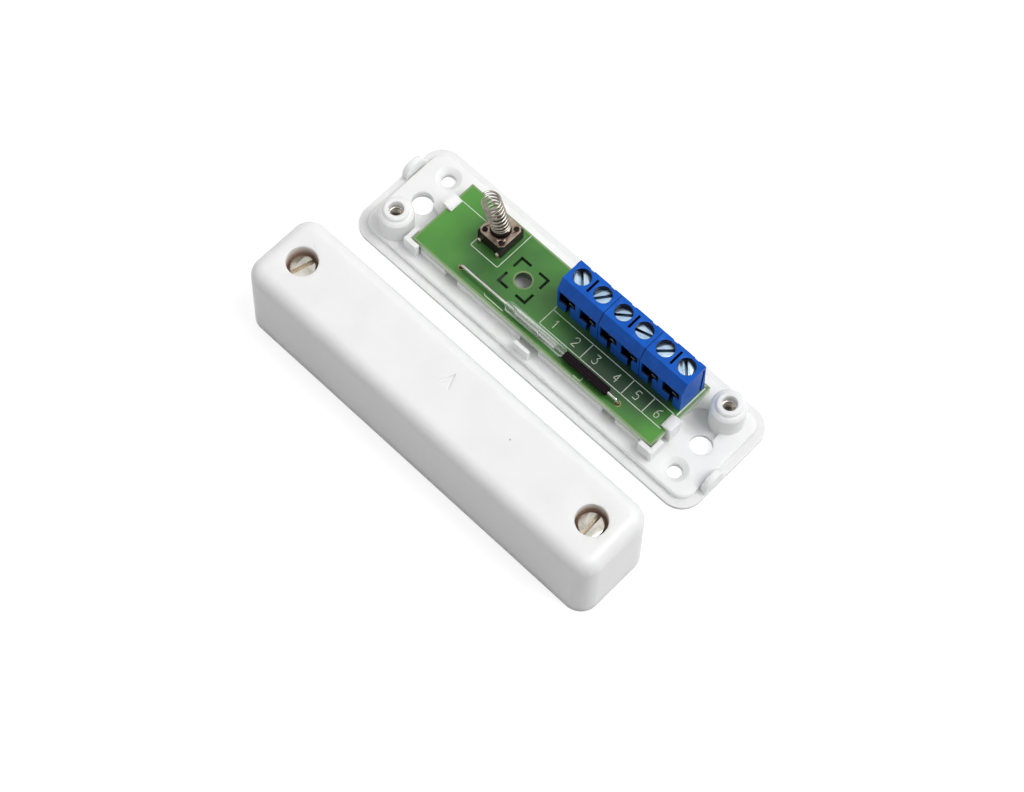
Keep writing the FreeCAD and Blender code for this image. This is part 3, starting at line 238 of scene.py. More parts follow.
# %% [markdown]
# A few finishes change over their piece in a set way. The reed switch's sleeve is woven from glass
# yarn and varnished black, so fine rings and runs cross on it. A wave along the sleeve gives the
# rings, and one across it the runs; where both are high, the yarn catches a little light.

# %% A woven sleeve
YARN = 0.42
YARN_RELIEF = 0.1
YARN_SHINE = (0.032, 0.020, 0.025)
WAVE_STEP = 0.314


def yarn_wave(nodes_of, links, coords, direction):
    """Bands one yarn apart along an axis."""
    wave = nodes_of.new("ShaderNodeTexWave")
    wave.wave_type = "BANDS"
    wave.bands_direction = direction
    wave.inputs["Scale"].default_value = WAVE_STEP / (YARN * MM)
    wave.inputs["Distortion"].default_value = 2.0
    links.new(coords, wave.inputs["Vector"])
    return wave.outputs["Fac"]


def make_sleeve_material():
    material = finish(
        "black sleeve", (0.002, 0.001, 0.002), (0.006, 0.003, 0.005), (0.6, 0.75), 0.8,
        specular=0.1,
    )
    nodes_of, links, shader = open_up(material)
    coords = nodes_of["Texture Coordinate"].outputs["Object"]
    rings = yarn_wave(nodes_of, links, coords, "X")
    runs = yarn_wave(nodes_of, links, coords, "Y")
    weave = calc(nodes_of, links, "MULTIPLY", rings, runs)
    tint(nodes_of, links, shader, weave, YARN_SHINE)
    emboss(nodes_of, links, shader, weave, YARN_RELIEF)
    return material


black_sleeve = make_sleeve_material()
print("woven finish:", black_sleeve.name)

# %% [markdown]
# The terminals repeat every 5.08 millimetres, so one material can serve all six poles. The
# lengthwise coordinate is wrapped to one pole, which gives the distance from that pole's screw.
# A screw's plating is bright on its head, and its slot, told apart by its depth, gets a darker
# colour as painted shade. The blue nylon gets painted shade where hardly any light reaches: in the
# wells, the clamp chambers, the divider slots and the seams between blocks.

# %% Screw heads and terminal blocks
PITCH = 5.08
FIRST_POLE = 1.24
POLES = 6
WELL_Y = 4.1
WELL_RADIUS = 1.76
SEAM_HALF = 0.07
# Painted shade for the wells, clamp chambers, divider slots and block seams of the blue terminals.
PAINTED_SHADE_BLUE = (0.001, 0.006, 0.030)
SLOT_STEP = 0.15
# Ranges in X from a middle, in Y on the board and in Z above it.
CHAMBER = ((-2.2, 2.2), (0.66, 6.3), (0.2, 7.4))
DIVIDER_SLOT = ((-0.26, 0.26), (2.5, 5.7), (7.5, 11.0))


def axes_of(nodes_of, links):
    """The X, Y and Z of the coordinates that a finish reads."""
    axes = nodes_of.new("ShaderNodeSeparateXYZ")
    links.new(nodes_of["Texture Coordinate"].outputs["Object"], axes.inputs[0])
    return axes.outputs


def wrapped(nodes_of, links, value, middle, reach):
    """A coordinate counted from the nearest of many middles, which lie two reaches apart."""
    offset = calc(nodes_of, links, "SUBTRACT", value, middle)
    return calc(nodes_of, links, "WRAP", offset, reach, -reach)


def combine(nodes_of, links, operation, *masks):
    """Masks taken together: MULTIPLY where all of them hold, MAXIMUM where any does."""
    result = masks[0]
    for mask in masks[1:]:
        result = calc(nodes_of, links, operation, result, mask)
    return result


def within(nodes_of, links, value, low, high):
    """One where a coordinate lies between two bounds."""
    outside = beyond(nodes_of, links, value, (low + high) / 2, (high - low) / 2)
    return calc(nodes_of, links, "SUBTRACT", 1.0, outside)


def in_box(nodes_of, links, along, y, z, ranges):
    """One inside a box that is given by its three ranges in millimetres."""
    x_range, y_range, z_range = ranges
    return combine(
        nodes_of, links, "MULTIPLY",
        within(nodes_of, links, along, *(place * MM for place in x_range)),
        within(nodes_of, links, y, *(on_board(0, place).y for place in y_range)),
        within(nodes_of, links, z, *(BOARD_TOP + place * MM for place in z_range)),
    )


def make_screw_finish(name, dark, light, slot, grain, node):
    """Plating that is bright on top of a screw's head, with painted shade in its slot."""
    material = finish(name, dark, light, (0.22, 0.36), grain, metal=1.0)
    nodes_of, links, shader = open_up(material)
    height = axes_of(nodes_of, links)["Z"]
    # The slot lies below the head's top, and its darker colour there is painted shade.
    below = calc(nodes_of, links, "LESS_THAN", height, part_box(node)[1].z - SLOT_STEP * MM)
    tint(nodes_of, links, shader, below, slot)
    return material


def pole_square(nodes_of, links, x, y, middle_x, middle_y):
    """The squared distance from an upright axis."""
    along = calc(nodes_of, links, "SUBTRACT", x, middle_x)
    across = calc(nodes_of, links, "SUBTRACT", y, middle_y)
    return calc(
        nodes_of, links, "ADD",
        calc(nodes_of, links, "MULTIPLY", along, along),
        calc(nodes_of, links, "MULTIPLY", across, across),
    )


def make_terminal_material():
    material = finish(
        "blue plastic", (0.001, 0.080, 0.44), (0.003, 0.108, 0.55), (0.36, 0.44),
        2.5, 0.003, 0.3, specular=0.2,
    )
    nodes_of, links, shader = open_up(material)
    x, y, z = axes_of(nodes_of, links)
    pole = on_board(FIRST_POLE, WELL_Y)
    pitch = PITCH * MM
    along = wrapped(nodes_of, links, x, pole.x, pitch / 2)
    square = pole_square(nodes_of, links, along, y, 0.0, pole.y)
    well = calc(nodes_of, links, "LESS_THAN", square, (WELL_RADIUS * MM) ** 2)
    chamber = in_box(nodes_of, links, along, y, z, CHAMBER)
    from_divider = wrapped(nodes_of, links, x, pole.x + pitch / 2, pitch)
    divider = in_box(nodes_of, links, from_divider, y, z, DIVIDER_SLOT)
    from_seam = wrapped(nodes_of, links, x, pole.x - pitch / 2, pitch)
    seam = combine(
        nodes_of, links, "MULTIPLY",
        within(nodes_of, links, from_seam, -SEAM_HALF * MM, SEAM_HALF * MM),
        within(nodes_of, links, x, pole.x, pole.x + (POLES - 1) * pitch),
    )
    # Painted shade where little light gets in: the wells, the clamp chambers, the divider slots and
    # the seams between blocks.
    dark = combine(nodes_of, links, "MAXIMUM", well, chamber, divider, seam)
    tint(nodes_of, links, shader, dark, PAINTED_SHADE_BLUE)
    return material


# The third colour of each screw finish is the painted shade in its slot.
zinc = make_screw_finish(
    "zinc plate", (0.32, 0.48, 0.66), (0.64, 0.79, 0.92), (0.11, 0.17, 0.24),
    1.8, "terminal_screw_1",
)
dull_nickel = make_screw_finish(
    "dull nickel", (0.44, 0.42, 0.36), (0.76, 0.73, 0.66), (0.34, 0.29, 0.23),
    1.6, "magnet_cover_screw_left",
)
blue_plastic = make_terminal_material()

# %% [markdown]
# The deep wells over the magnet unit's two screws look warm, because light that gets down there
# has passed through the plastic and off the nickel. The cover has the same white finish as the
# rest, with a tint near the axes of the two screws that fades towards the rim. A small grey
# speck lies on its top, as in the photo.

# %% The cover's white plastic
WELL_TINT = (0.56, 0.40, 0.31)
WELL_EDGE = 3.4
WARM_BELOW = 2.4
PLAIN_ABOVE = 0.4
SPECK_PLACE = (15.1, -16.0)
SPECK_RADIUS = 0.17
SPECK_COLOUR = (0.42, 0.42, 0.41)


def make_cover_material():
    material = white_plastic.copy()
    material.name = "white plastic cover"
    nodes_of, links, shader = open_up(material)
    x, y, z = axes_of(nodes_of, links)
    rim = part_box("magnet_cover")[1].z
    depth = ramp(nodes_of, links, z, rim - WARM_BELOW * MM, rim - PLAIN_ABOVE * MM, 1.0, 0.0)
    for name in ("magnet_cover_screw_left", "magnet_cover_screw_right"):
        low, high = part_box(name)
        middle = (low + high) / 2
        square = pole_square(nodes_of, links, x, y, middle.x, middle.y)
        near = calc(nodes_of, links, "LESS_THAN", square, (WELL_EDGE * MM) ** 2)
        warm = calc(nodes_of, links, "MULTIPLY", near, depth)
        tint(nodes_of, links, shader, warm, WELL_TINT)
    speck_x, speck_y = (place * MM for place in SPECK_PLACE)
    square = pole_square(nodes_of, links, x, y, speck_x, speck_y)
    on_speck = calc(nodes_of, links, "LESS_THAN", square, (SPECK_RADIUS * MM) ** 2)
    tint(nodes_of, links, shader, on_speck, SPECK_COLOUR)
    return material


cover_plastic = make_cover_material()
print("cover's finish:", cover_plastic.name, "with", len(cover_plastic.node_tree.nodes), "nodes")

# %% [markdown]
# The reed switch's two leads are bright tin outside the glass. Inside it they are flat reeds of a
# duller alloy, so the same node changes its finish at the ends of the tube.

# %% Leads and reeds
REED_ALLOY = (0.46, 0.48, 0.44)


def make_lead_material():
    material = tinned.copy()
    material.name = "tinned lead"
    nodes_of, links, shader = open_up(material)
    low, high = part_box("reed_glass")
    sealed = within(nodes_of, links, axes_of(nodes_of, links)["X"], low.x, high.x)
    tint(nodes_of, links, shader, sealed, REED_ALLOY)
    return material


tinned_lead = make_lead_material()
print("leads' finish:", tinned_lead.name)

# %% [markdown]
# Clear glass shows what lies behind it and shines at its edges. A refracting shader turns so
# small a tube into glitter, so this one is see-through where the eye meets it squarely and grows
# whiter towards the grazing edge, a painted reflection of that shine. The tube has an inner wall
# too, which gives the second pair of streaks that a real tube shows. Fine bright lines run along
# the tube as well: a noise stretched along the tube paints those highlights.

# %% Glass for the reed switch
GLASS_COLOUR = (0.78, 0.86, 0.78, 1.0)
GLASS_INDEX = 1.47
EDGE_BLEND = 0.18
SEEN_SQUARELY = 0.02
SEEN_GRAZING = 0.6
STREAK_STRETCH = (0.05, 1.0, 1.0)
STREAK_SPACING = 0.8


def make_glass():
    material = bpy.data.materials.new("reed glass")
    nodes_of, links, shader = open_up(material)
    shader.inputs["Base Color"].default_value = GLASS_COLOUR
    shader.inputs["Roughness"].default_value = 0.05
    shader.inputs["IOR"].default_value = GLASS_INDEX
    grazing = nodes_of.new("ShaderNodeLayerWeight")
    grazing.inputs["Blend"].default_value = EDGE_BLEND
    facing = grazing.outputs["Facing"]
    # Whiter towards the grazing edge: a painted reflection.
    edge = ramp(nodes_of, links, facing, 0.0, 1.0, SEEN_SQUARELY, SEEN_GRAZING)
    streak_stretching = nodes_of.new("ShaderNodeMapping")
    streak_stretching.inputs["Scale"].default_value = STREAK_STRETCH
    links.new(nodes_of.new("ShaderNodeTexCoord").outputs["Object"], streak_stretching.inputs["Vector"])
    # Fine bright lines along the tube: painted highlights.
    streak_noise = noise(nodes_of, links, streak_stretching.outputs["Vector"], 1 / (STREAK_SPACING * MM), detail=0.0)
    painted_streaks = ramp(nodes_of, links, streak_noise, 0.60, 0.66, 0.0, 0.5)
    links.new(calc(nodes_of, links, "ADD", edge, painted_streaks), shader.inputs["Alpha"])
    return material


reed_glass = make_glass()
print("glass finish:", reed_glass.name)

# %% [markdown]
# The circuit board is green solder mask over pale glass laminate. The mask stops a little short of
# the edge, so a paler rim shows all round. The cut sides are the laminate's own pale green, and the
# walls of the four angled slots get a very dark green as painted shade, because light hardly reaches
# them.
# The mask's green also carries painted light and shade: painted shade in two broad places, painted
# light in a third near the right end, and the most painted light along the left end. Distances
# worked out from the coordinates tell these places apart.

# %% The circuit board's material
MASK_MARGIN = 0.35
SLOTS_MIDDLE = (-9.2, 0.0)
SLOTS_REACH = 4.2
SKIN = 0.05
CLOUD_SIZE = 9
# Painted light along the left end: full at the first place, faded to the plain level at the second.
PAINTED_LIGHT_END = (-30, 0.95)
PAINTED_LIGHT_FADED_AT = (-18, 0.53)
# The darker mask colour serves the painted shade and the lighter one the painted light; the clouds
# vary the tone at random.
MASK_COLOURS = ((0.012, 0.045, 0.016), (0.080, 0.300, 0.040))
RIM_COLOURS = ((0.20, 0.30, 0.12), (0.28, 0.38, 0.18))
# Painted shade on the walls of the angled slots.
SLOT_WALL_PAINTED_SHADE = (0.045, 0.10, 0.03)
CUT_SIDE = (0.50, 0.62, 0.47)
# Each place of painted shade and light on the board, its reach along X and Y, and how much painted
# shade is laid there; a negative amount lays painted light.
PAINTED_LIGHT_AND_SHADE_PLACES = [
    ((-14.0, -4.0), (8.0, 5.0), 0.15),
    ((14.0, -1.5), (20.0, 6.0), 0.62),
    ((31.0, -4.0), (8.0, 8.0), -0.32),
]


def nearness(nodes_of, links, coords, place, reach):
    """One at a place on the board, falling to zero at a reach along each axis."""
    centred = nodes_of.new("ShaderNodeMapping")
    centred.vector_type = "TEXTURE"
    centred.inputs["Location"].default_value = on_board(*place)
    centred.inputs["Scale"].default_value = (reach[0] * MM, reach[1] * MM, 1.0)
    links.new(coords, centred.inputs["Vector"])
    length = nodes_of.new("ShaderNodeVectorMath")
    length.operation = "LENGTH"
    links.new(centred.outputs["Vector"], length.inputs[0])
    fading = ramp(nodes_of, links, length.outputs["Value"], 0.2, 1.1, 1.0, 0.0)
    fading.node.interpolation_type = "SMOOTHSTEP"
    return fading


def make_board_material():
    material = bpy.data.materials.new("solder mask")
    nodes_of, links, shader = open_up(material)
    coords = nodes_of.new("ShaderNodeTexCoord").outputs["Object"]
    x, y, z = axes_of(nodes_of, links)
    half = (board_high - board_low) / 2
    margin = MASK_MARGIN * MM
    rim = calc(
        nodes_of, links, "MAXIMUM",
        beyond(nodes_of, links, x, board_middle.x, half.x - margin),
        beyond(nodes_of, links, y, board_middle.y, half.y - margin),
    )
    skin = beyond(nodes_of, links, z, board_middle.z, half.z - SKIN * MM)
    cut = calc(nodes_of, links, "SUBTRACT", 1.0, skin)
    slots = on_board(*SLOTS_MIDDLE)
    away = calc(
        nodes_of, links, "MAXIMUM",
        beyond(nodes_of, links, x, slots.x, SLOTS_REACH * MM),
        beyond(nodes_of, links, y, slots.y, SLOTS_REACH * MM),
    )
    clouds = noise(nodes_of, links, coords, 1 / (CLOUD_SIZE * MM), detail=2.0)
    cloudy = span(nodes_of, links, clouds, -0.2, 0.2)
    # Painted light from the left end, then painted shade and light at the listed places.
    (bright_x, bright), (dull_x, dull) = PAINTED_LIGHT_END, PAINTED_LIGHT_FADED_AT
    start, end = board_middle.x + bright_x * MM, board_middle.x + dull_x * MM
    shade = ramp(nodes_of, links, x, start, end, bright, dull)
    shade = calc(nodes_of, links, "ADD", shade, cloudy)
    for place, reach, strength in PAINTED_LIGHT_AND_SHADE_PLACES:
        painted_nearness = nearness(nodes_of, links, coords, place, reach)
        painted_change = calc(nodes_of, links, "MULTIPLY", painted_nearness, strength)
        shade = calc(nodes_of, links, "SUBTRACT", shade, painted_change)
    mask = mix_colour(nodes_of, links, shade, *MASK_COLOURS)
    pale = mix_colour(nodes_of, links, cloudy, *RIM_COLOURS)
    top = mix_colour(nodes_of, links, rim, mask, pale)
    # The slot walls get painted shade; the other cut sides keep the laminate's own colour.
    wall = mix_colour(nodes_of, links, away, SLOT_WALL_PAINTED_SHADE, CUT_SIDE)
    links.new(mix_colour(nodes_of, links, cut, top, wall), shader.inputs["Base Color"])
    links.new(span(nodes_of, links, cloudy, 0.30, 0.42), shader.inputs["Roughness"])
    return material


solder_mask = make_board_material()
print("board's finish:", solder_mask.name, "with", len(solder_mask.node_tree.nodes), "nodes")

# %% [markdown]
# A solid from the drawing has sharp edges, but a moulded or pressed one never has: the edge is
# what catches the light. The loose triangles of each node are joined by a Weld modifier, and a
# Bevel modifier rounds only the edges that turn by more than a set angle. Weighting the normals by
# the size of their faces keeps the large flat sides free of streaks. A node that gets no bevel is
# split at its sharp edges, so they still read as crisp.

# %% Dress the solid pieces
# Each slot's finish, and the radius in millimetres that rounds its sharp edges.
FINISHES = {
    "white_plastic": (white_plastic, 0.12),
    "nickel": (nickel, 0.05),
    "green_board": (solder_mask, 0.0),
    "dark_plastic": (dark_plastic, 0.06),
    "brown_metal": (brown_plate, 0.05),
    "spring_steel": (spring_wire, 0.0),
    "tinned_metal": (tinned, 0.03),
    "clear_glass": (reed_glass, 0.0),
    "black_sleeve": (black_sleeve, 0.12),
    "ferrite": (ferrite, 0.2),
    "screw_steel": (dull_nickel, 0.08),
    "zinc_screw": (zinc, 0.06),
    "blue_plastic": (blue_plastic, 0.1),
    "brass": (brass, 0.06),
}
SHARP_ANGLE = math.radians(32)
JOIN_WITHIN = 0.0005


def dress(piece, material, edge, segments=2):
    """Give a node its finish, and round its sharp edges by a radius in millimetres."""
    piece.data.materials.clear()
    piece.data.materials.append(material)
    for face in piece.data.polygons:
        face.use_smooth = True
    weld = piece.modifiers.new("join triangles", "WELD")
    weld.merge_threshold = JOIN_WITHIN * MM
    if edge:
        bevel = piece.modifiers.new("soft edges", "BEVEL")
        bevel.width = edge * MM
        bevel.segments = segments
        bevel.limit_method = "ANGLE"
        bevel.angle_limit = SHARP_ANGLE
        bevel.harden_normals = True
        even = piece.modifiers.new("even shading", "WEIGHTED_NORMAL")
        even.keep_sharp = True
    else:
        split = piece.modifiers.new("crisp edges", "EDGE_SPLIT")
        split.split_angle = SHARP_ANGLE


OWN_FINISH = {
    "tamper_switch_pins": gold_tin,
    "reed_blade_left": tinned_lead,
    "reed_blade_right": tinned_lead,
    "magnet_cover": cover_plastic,
}

OWN_EDGE = {"switch_base": 0.35}

for row in frame["record"]["subparts"]:
    node = row["node"]
    chosen, edge = FINISHES[row["material_slot"]]
    segments = 3 if node in OWN_EDGE else 2
    dress(nodes[node], OWN_FINISH.get(node, chosen), OWN_EDGE.get(node, edge), segments)

# %% [markdown]
# The board's print is thin white ink. A picture laid on the board could carry it, but real strokes
# stay sharp at any distance. Each stroke is a flat bar with a round dot at both ends, so that
# strokes meet without gaps.

# %% Strokes of ink
INK_THICKNESS = 0.012
DOT_SIDES = 10


def add_piece(name, mesh_maker, material, body="units", smooth=False):
    """Turn what a function builds in a bmesh into a finished piece that rides on a body."""
    work = bmesh.new()
    mesh_maker(work)
    bmesh.ops.recalc_face_normals(work, faces=work.faces)
    mesh = bpy.data.meshes.new(name)
    work.to_mesh(mesh)
    work.free()
    mesh.materials.append(material)
    for face in mesh.polygons:
        face.use_smooth = smooth
    piece = bpy.data.objects.new(name, mesh)
    bpy.context.scene.collection.objects.link(piece)
    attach(piece, body)
    return piece


def stroke(work, start, end, width):
    """One bar of ink between two places on the board, rounded at both ends."""
    first = on_board(*start, INK_THICKNESS / 2)
    second = on_board(*end, INK_THICKNESS / 2)
    along = second - first
    turn = Matrix.Rotation(math.atan2(along.y, along.x), 4, "Z")
    place = Matrix.Translation((first + second) / 2) @ turn
    size = Matrix.Diagonal((along.length, width * MM, INK_THICKNESS * MM, 1))
    bmesh.ops.create_cube(work, size=1, matrix=place @ size)
    for point in (first, second):
        radius = width * MM / 2
        place = Matrix.Translation(point)
        bmesh.ops.create_cone(
            work, cap_ends=True, segments=DOT_SIDES, radius1=radius, radius2=radius,
            depth=INK_THICKNESS * MM, matrix=place,
        )


def polyline(work, points, width):
    for start, end in zip(points, points[1:]):
        stroke(work, start, end, width)


print("ink in mm:", INK_THICKNESS, "thick")

# %% [markdown]
# The strokes make lines round the tamper switch, a table of boxes in front of the terminals, and
# brackets that show where the glass goes. Their places are read from the photo, in millimetres
# from the board's middle.

# %% Lines, boxes and brackets
LINE_WIDTH = 0.15
BOX_LEFT = -1.1
BOX_RIGHT = 28.9
BOX_TOP = -0.49
BOX_BOTTOM = -4.3
DIVIDERS = [9.0, 19.2, 24.3]


def draw_lines(work):
    polyline(work, [(-21.35, -1.47), (-14.5, -1.47), (-14.5, 7.74)], LINE_WIDTH)
    polyline(work, [(-21.35, -1.47), (-21.35, 4.05)], LINE_WIDTH)
    polyline(work, [(-29.07, 4.05), (-21.35, 4.05)], LINE_WIDTH)
    top = [(BOX_RIGHT, BOX_TOP), (BOX_LEFT, BOX_TOP)]
    bottom = [(BOX_LEFT, BOX_BOTTOM), (BOX_RIGHT, BOX_BOTTOM)]
    polyline(work, top + bottom, LINE_WIDTH)
    polyline(work, [(BOX_LEFT, BOX_TOP), (BOX_LEFT, 0.56)], LINE_WIDTH)
    for x in DIVIDERS:
        polyline(work, [(x, BOX_TOP), (x, BOX_BOTTOM)], LINE_WIDTH)
    polyline(work, [(-12.5, -6.9), (-12.2, -7.2), (-7.6, -7.2)], LINE_WIDTH)
    polyline(work, [(10.5, -7.6), (12.2, -7.6), (12.2, -6.8)], LINE_WIDTH)
    polyline(work, [(29.35, -0.4), (29.45, 7.4), (29.1, 7.6)], 2 * LINE_WIDTH)


print_lines = add_piece("print_lines", draw_lines, white_print)
print("faces in the lines:", len(print_lines.data.polygons))

# %% [markdown]
# The photo's board has words in front of its terminals. Plain numbers stand in their place, one
# for each terminal. Each is a path through a unit square, so one table holds all the shapes, and the
# strokes above draw them.

# %% Plain numbers, one for each terminal
DIGIT_HEIGHT = 1.9
DIGIT_WIDTH = 0.95
DIGIT_STROKE = 0.15
DIGITS = {
    1: [(0.2, 0.75), (0.55, 1.0), (0.55, 0.0)],
    2: [(0.0, 0.8), (0.2, 1.0), (0.8, 1.0), (1.0, 0.8), (1.0, 0.6), (0.0, 0.0), (1.0, 0.0)],
    3: [
        (0.0, 1.0), (1.0, 1.0), (0.5, 0.6), (0.9, 0.5),
        (1.0, 0.25), (0.8, 0.0), (0.2, 0.0), (0.0, 0.15),
    ],
    4: [(0.75, 0.0), (0.75, 1.0), (0.0, 0.3), (1.0, 0.3)],
    5: [(1.0, 1.0), (0.1, 1.0), (0.0, 0.55), (0.7, 0.6), (1.0, 0.35), (0.8, 0.0), (0.0, 0.05)],
    6: [
        (0.9, 1.0), (0.3, 0.8), (0.0, 0.35), (0.2, 0.0),
        (0.8, 0.0), (1.0, 0.3), (0.7, 0.55), (0.1, 0.45),
    ],
}


def draw_numbers(work):
    for number, shape in DIGITS.items():
        middle = FIRST_POLE + (number - 1) * PITCH
        left = middle - DIGIT_WIDTH / 2
        low = (BOX_TOP + BOX_BOTTOM - DIGIT_HEIGHT) / 2
        points = [(left + x * DIGIT_WIDTH, low + y * DIGIT_HEIGHT) for x, y in shape]
        polyline(work, points, DIGIT_STROKE)


add_piece("print_numbers", draw_numbers, white_print)
print("numbers drawn:", len(DIGITS))

# %% [markdown]
# The tamper spring is wound close at its foot, where it grips the switch's button, and open
# above. It keeps nearly the same width and leans over, because nothing holds its free end while the
# cover is off. A curve through its turns, thickened to the wire and made a mesh, follows all of
# that.

# %% The tamper spring
WIRE = 0.4
CLOSE_TURNS = 1.5
OPEN_TURNS = 8.0
CLOSE_PITCH = 0.42
FOOT_RADIUS = 1.77
TIP_RADIUS = 1.75
LEAN = Vector((-1.7, -1.15)) * MM
STEPS_PER_TURN = 32
OPENING = 1.12

spring_low, spring_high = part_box("tamper_spring")
plate_low, plate_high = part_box("tamper_cover_plate")
plate_middle = (plate_low + plate_high) / 2
SPRING_FOOT = Vector((plate_middle.x, plate_middle.y, spring_low.z))
SPRING_LENGTH = spring_high.z - spring_low.z


def spring_point(turn):
    """The middle of the wire after a number of turns."""
    height = SPRING_LENGTH - WIRE * MM
    close = CLOSE_TURNS * CLOSE_PITCH * MM
    if turn < CLOSE_TURNS:
        rise = turn * CLOSE_PITCH * MM
    else:
        rise = close + (height - close) * ((turn - CLOSE_TURNS) / OPEN_TURNS) ** OPENING
    share = rise / height
    radius = (FOOT_RADIUS + (TIP_RADIUS - FOOT_RADIUS) * share) * MM
    angle = turn * 2 * math.pi
    lean = LEAN * share
    x = radius * math.cos(angle) + lean.x
    y = radius * math.sin(angle) + lean.y
    return SPRING_FOOT + Vector((x, y, rise + WIRE * MM / 2))


def make_spring():
    curve = bpy.data.curves.new("spring path", "CURVE")
    curve.dimensions = "3D"
    path = curve.splines.new("POLY")
    count = int((CLOSE_TURNS + OPEN_TURNS) * STEPS_PER_TURN)
    path.points.add(count)
    for index in range(count + 1):
        path.points[index].co = (*spring_point(index / STEPS_PER_TURN), 1)
    curve.bevel_depth = WIRE * MM / 2
    curve.bevel_resolution = 3
    curve.use_fill_caps = True
    holder = bpy.data.objects.new("spring path", curve)
    bpy.context.scene.collection.objects.link(holder)
    mesh = bpy.data.meshes.new_from_object(holder)
    bpy.data.objects.remove(holder)
    mesh.name = "coil_spring"
    mesh.materials.clear()
    mesh.materials.append(spring_wire)
    for face in mesh.polygons:
        face.use_smooth = True
    spring = bpy.data.objects.new("coil_spring", mesh)
    bpy.context.scene.collection.objects.link(spring)
    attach(spring, "button")
    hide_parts("tamper_spring")
    return spring


spring = make_spring()
print("spring faces:", len(spring.data.polygons))

# %% [markdown]
# Under the button lies a thin steel dome, which is what clicks. When the button goes down, the
# dome's crown gives way under it while its rim stays where it is. This piece is the dome's own
# shape with its doubled points joined, and it takes the dome's place.


def draw_dome(work):
    work.from_mesh(nodes["tamper_contact_dome"].data)
    bmesh.ops.remove_doubles(work, verts=work.verts, dist=JOIN_WITHIN * MM)


snap_dome = add_piece("snap_dome", draw_dome, spring_wire)
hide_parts("tamper_contact_dome")
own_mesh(snap_dome)

# %% [markdown]
# Where a lead goes through the board, a flat ring of plated copper surrounds its hole, and the
# middle hole between the angled slots has a paler ring of bare board. Each ring is a small
# rectangle in section, spun once round the hole's axis.

# %% Rings round the holes
RING_THICKNESS = 0.03
SPIN_STEPS = 40
LEAD_HOLES = [(-19.3, -6.1), (20.1, -6.1)]
LEAD_RING = (0.45, 0.66)
HOLE_RING = (1.62, 1.95)


def spin_section(work, middle, section):
    """Spin a closed section, given as radius and height in millimetres, round a vertical axis."""
    places = [Vector((radius * MM, 0, rise * MM)) for radius, rise in section]
    corners = [work.verts.new(middle + place) for place in places]
    edges = [work.edges.new(pair) for pair in zip(corners, corners[1:] + corners[:1])]
    bmesh.ops.spin(
        work, geom=corners + edges, cent=middle, axis=(0, 0, 1), angle=2 * math.pi,
        steps=SPIN_STEPS, use_merge=True,
    )


def ring_section(inner, outer):
    return [(inner, 0.0), (outer, 0.0), (outer, RING_THICKNESS), (inner, RING_THICKNESS)]


def draw_lead_rings(work):
    for place in LEAD_HOLES:
        spin_section(work, on_board(*place), ring_section(*LEAD_RING))


def draw_hole_ring(work):
    spin_section(work, on_board(*SLOTS_MIDDLE), ring_section(*HOLE_RING))


add_piece("lead_rings", draw_lead_rings, plated)
bare_laminate = finish("bare laminate", (0.14, 0.24, 0.08), (0.20, 0.31, 0.12), (0.4, 0.5), 1.0)
add_piece("hole_ring", draw_hole_ring, bare_laminate)
print("rings:", len(LEAD_HOLES), "at the leads, 1 at the middle hole")

# %% [markdown]
# The two bosses hold threaded inserts, and their threads show as bright rings down the bore. A
# thread this small is drawn as a stack of ridges: a saw-tooth section, half a millimetre apart,
# spun round the insert's axis.

# %% Threads in the inserts
BORE_RADIUS = 1.25
THREAD_DEPTH = 0.2
THREAD_PITCH = 0.5
THREAD_ROOT = 0.01


def draw_threads(work):
    for name in ("switch_insert_left", "switch_insert_right"):
        low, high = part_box(name)
        middle = Vector(((low.x + high.x) / 2, (low.y + high.y) / 2, low.z))
        length = (high.z - low.z) / MM
        section = [(BORE_RADIUS, 0.0)]
        count = int(length / THREAD_PITCH)
        for index in range(count):
            section.append((BORE_RADIUS - THREAD_DEPTH, (index + 0.5) * THREAD_PITCH))
            section.append((BORE_RADIUS - THREAD_ROOT, (index + 1) * THREAD_PITCH))
        section.append((BORE_RADIUS, count * THREAD_PITCH))
        spin_section(work, middle, section)


insert_threads = add_piece("insert_threads", draw_threads, nickel)
print("faces in the threads:", len(insert_threads.data.polygons))

# %% [markdown]
# The floor and the backdrop of a product picture are white. The floor adds its own glow only for
# what the camera sees, directly, mirrored or through glass. So it reads as paper white while the
# light on the object stays plain, and it keeps the faint shadow that the object throws.

# %% Floor
FLOOR_REACH = 2.0
PAPER_COLOUR = (0.5, 0.5, 0.5, 1)
PAPER_GLOW = 0.70


def make_floor():
    work = bmesh.new()
    bmesh.ops.create_grid(work, x_segments=1, y_segments=1, size=FLOOR_REACH)
    mesh = bpy.data.meshes.new("floor")
    work.to_mesh(mesh)
    work.free()
    material = bpy.data.materials.new("floor paper")
    nodes_of, links, shader = open_up(material)
    nodes_of.remove(shader)
    paper = nodes_of.new("ShaderNodeBsdfDiffuse")
    paper.inputs["Color"].default_value = PAPER_COLOUR
    glow = nodes_of.new("ShaderNodeEmission")
    rays = nodes_of.new("ShaderNodeLightPath").outputs
    kinds = ("Is Camera Ray", "Is Glossy Ray", "Is Transmission Ray")
    seen = combine(nodes_of, links, "MAXIMUM", *(rays[kind] for kind in kinds))
    strength = calc(nodes_of, links, "MULTIPLY", seen, PAPER_GLOW)
    links.new(strength, glow.inputs["Strength"])
    both = nodes_of.new("ShaderNodeAddShader")
    links.new(paper.outputs[0], both.inputs[0])
    links.new(glow.outputs[0], both.inputs[1])
    links.new(both.outputs[0], nodes_of["Material Output"].inputs["Surface"])
    mesh.materials.append(material)
    floor = bpy.data.objects.new("floor", mesh)
    bpy.context.scene.collection.objects.link(floor)


make_floor()
print("floor in m:", 2 * FLOOR_REACH, "wide")

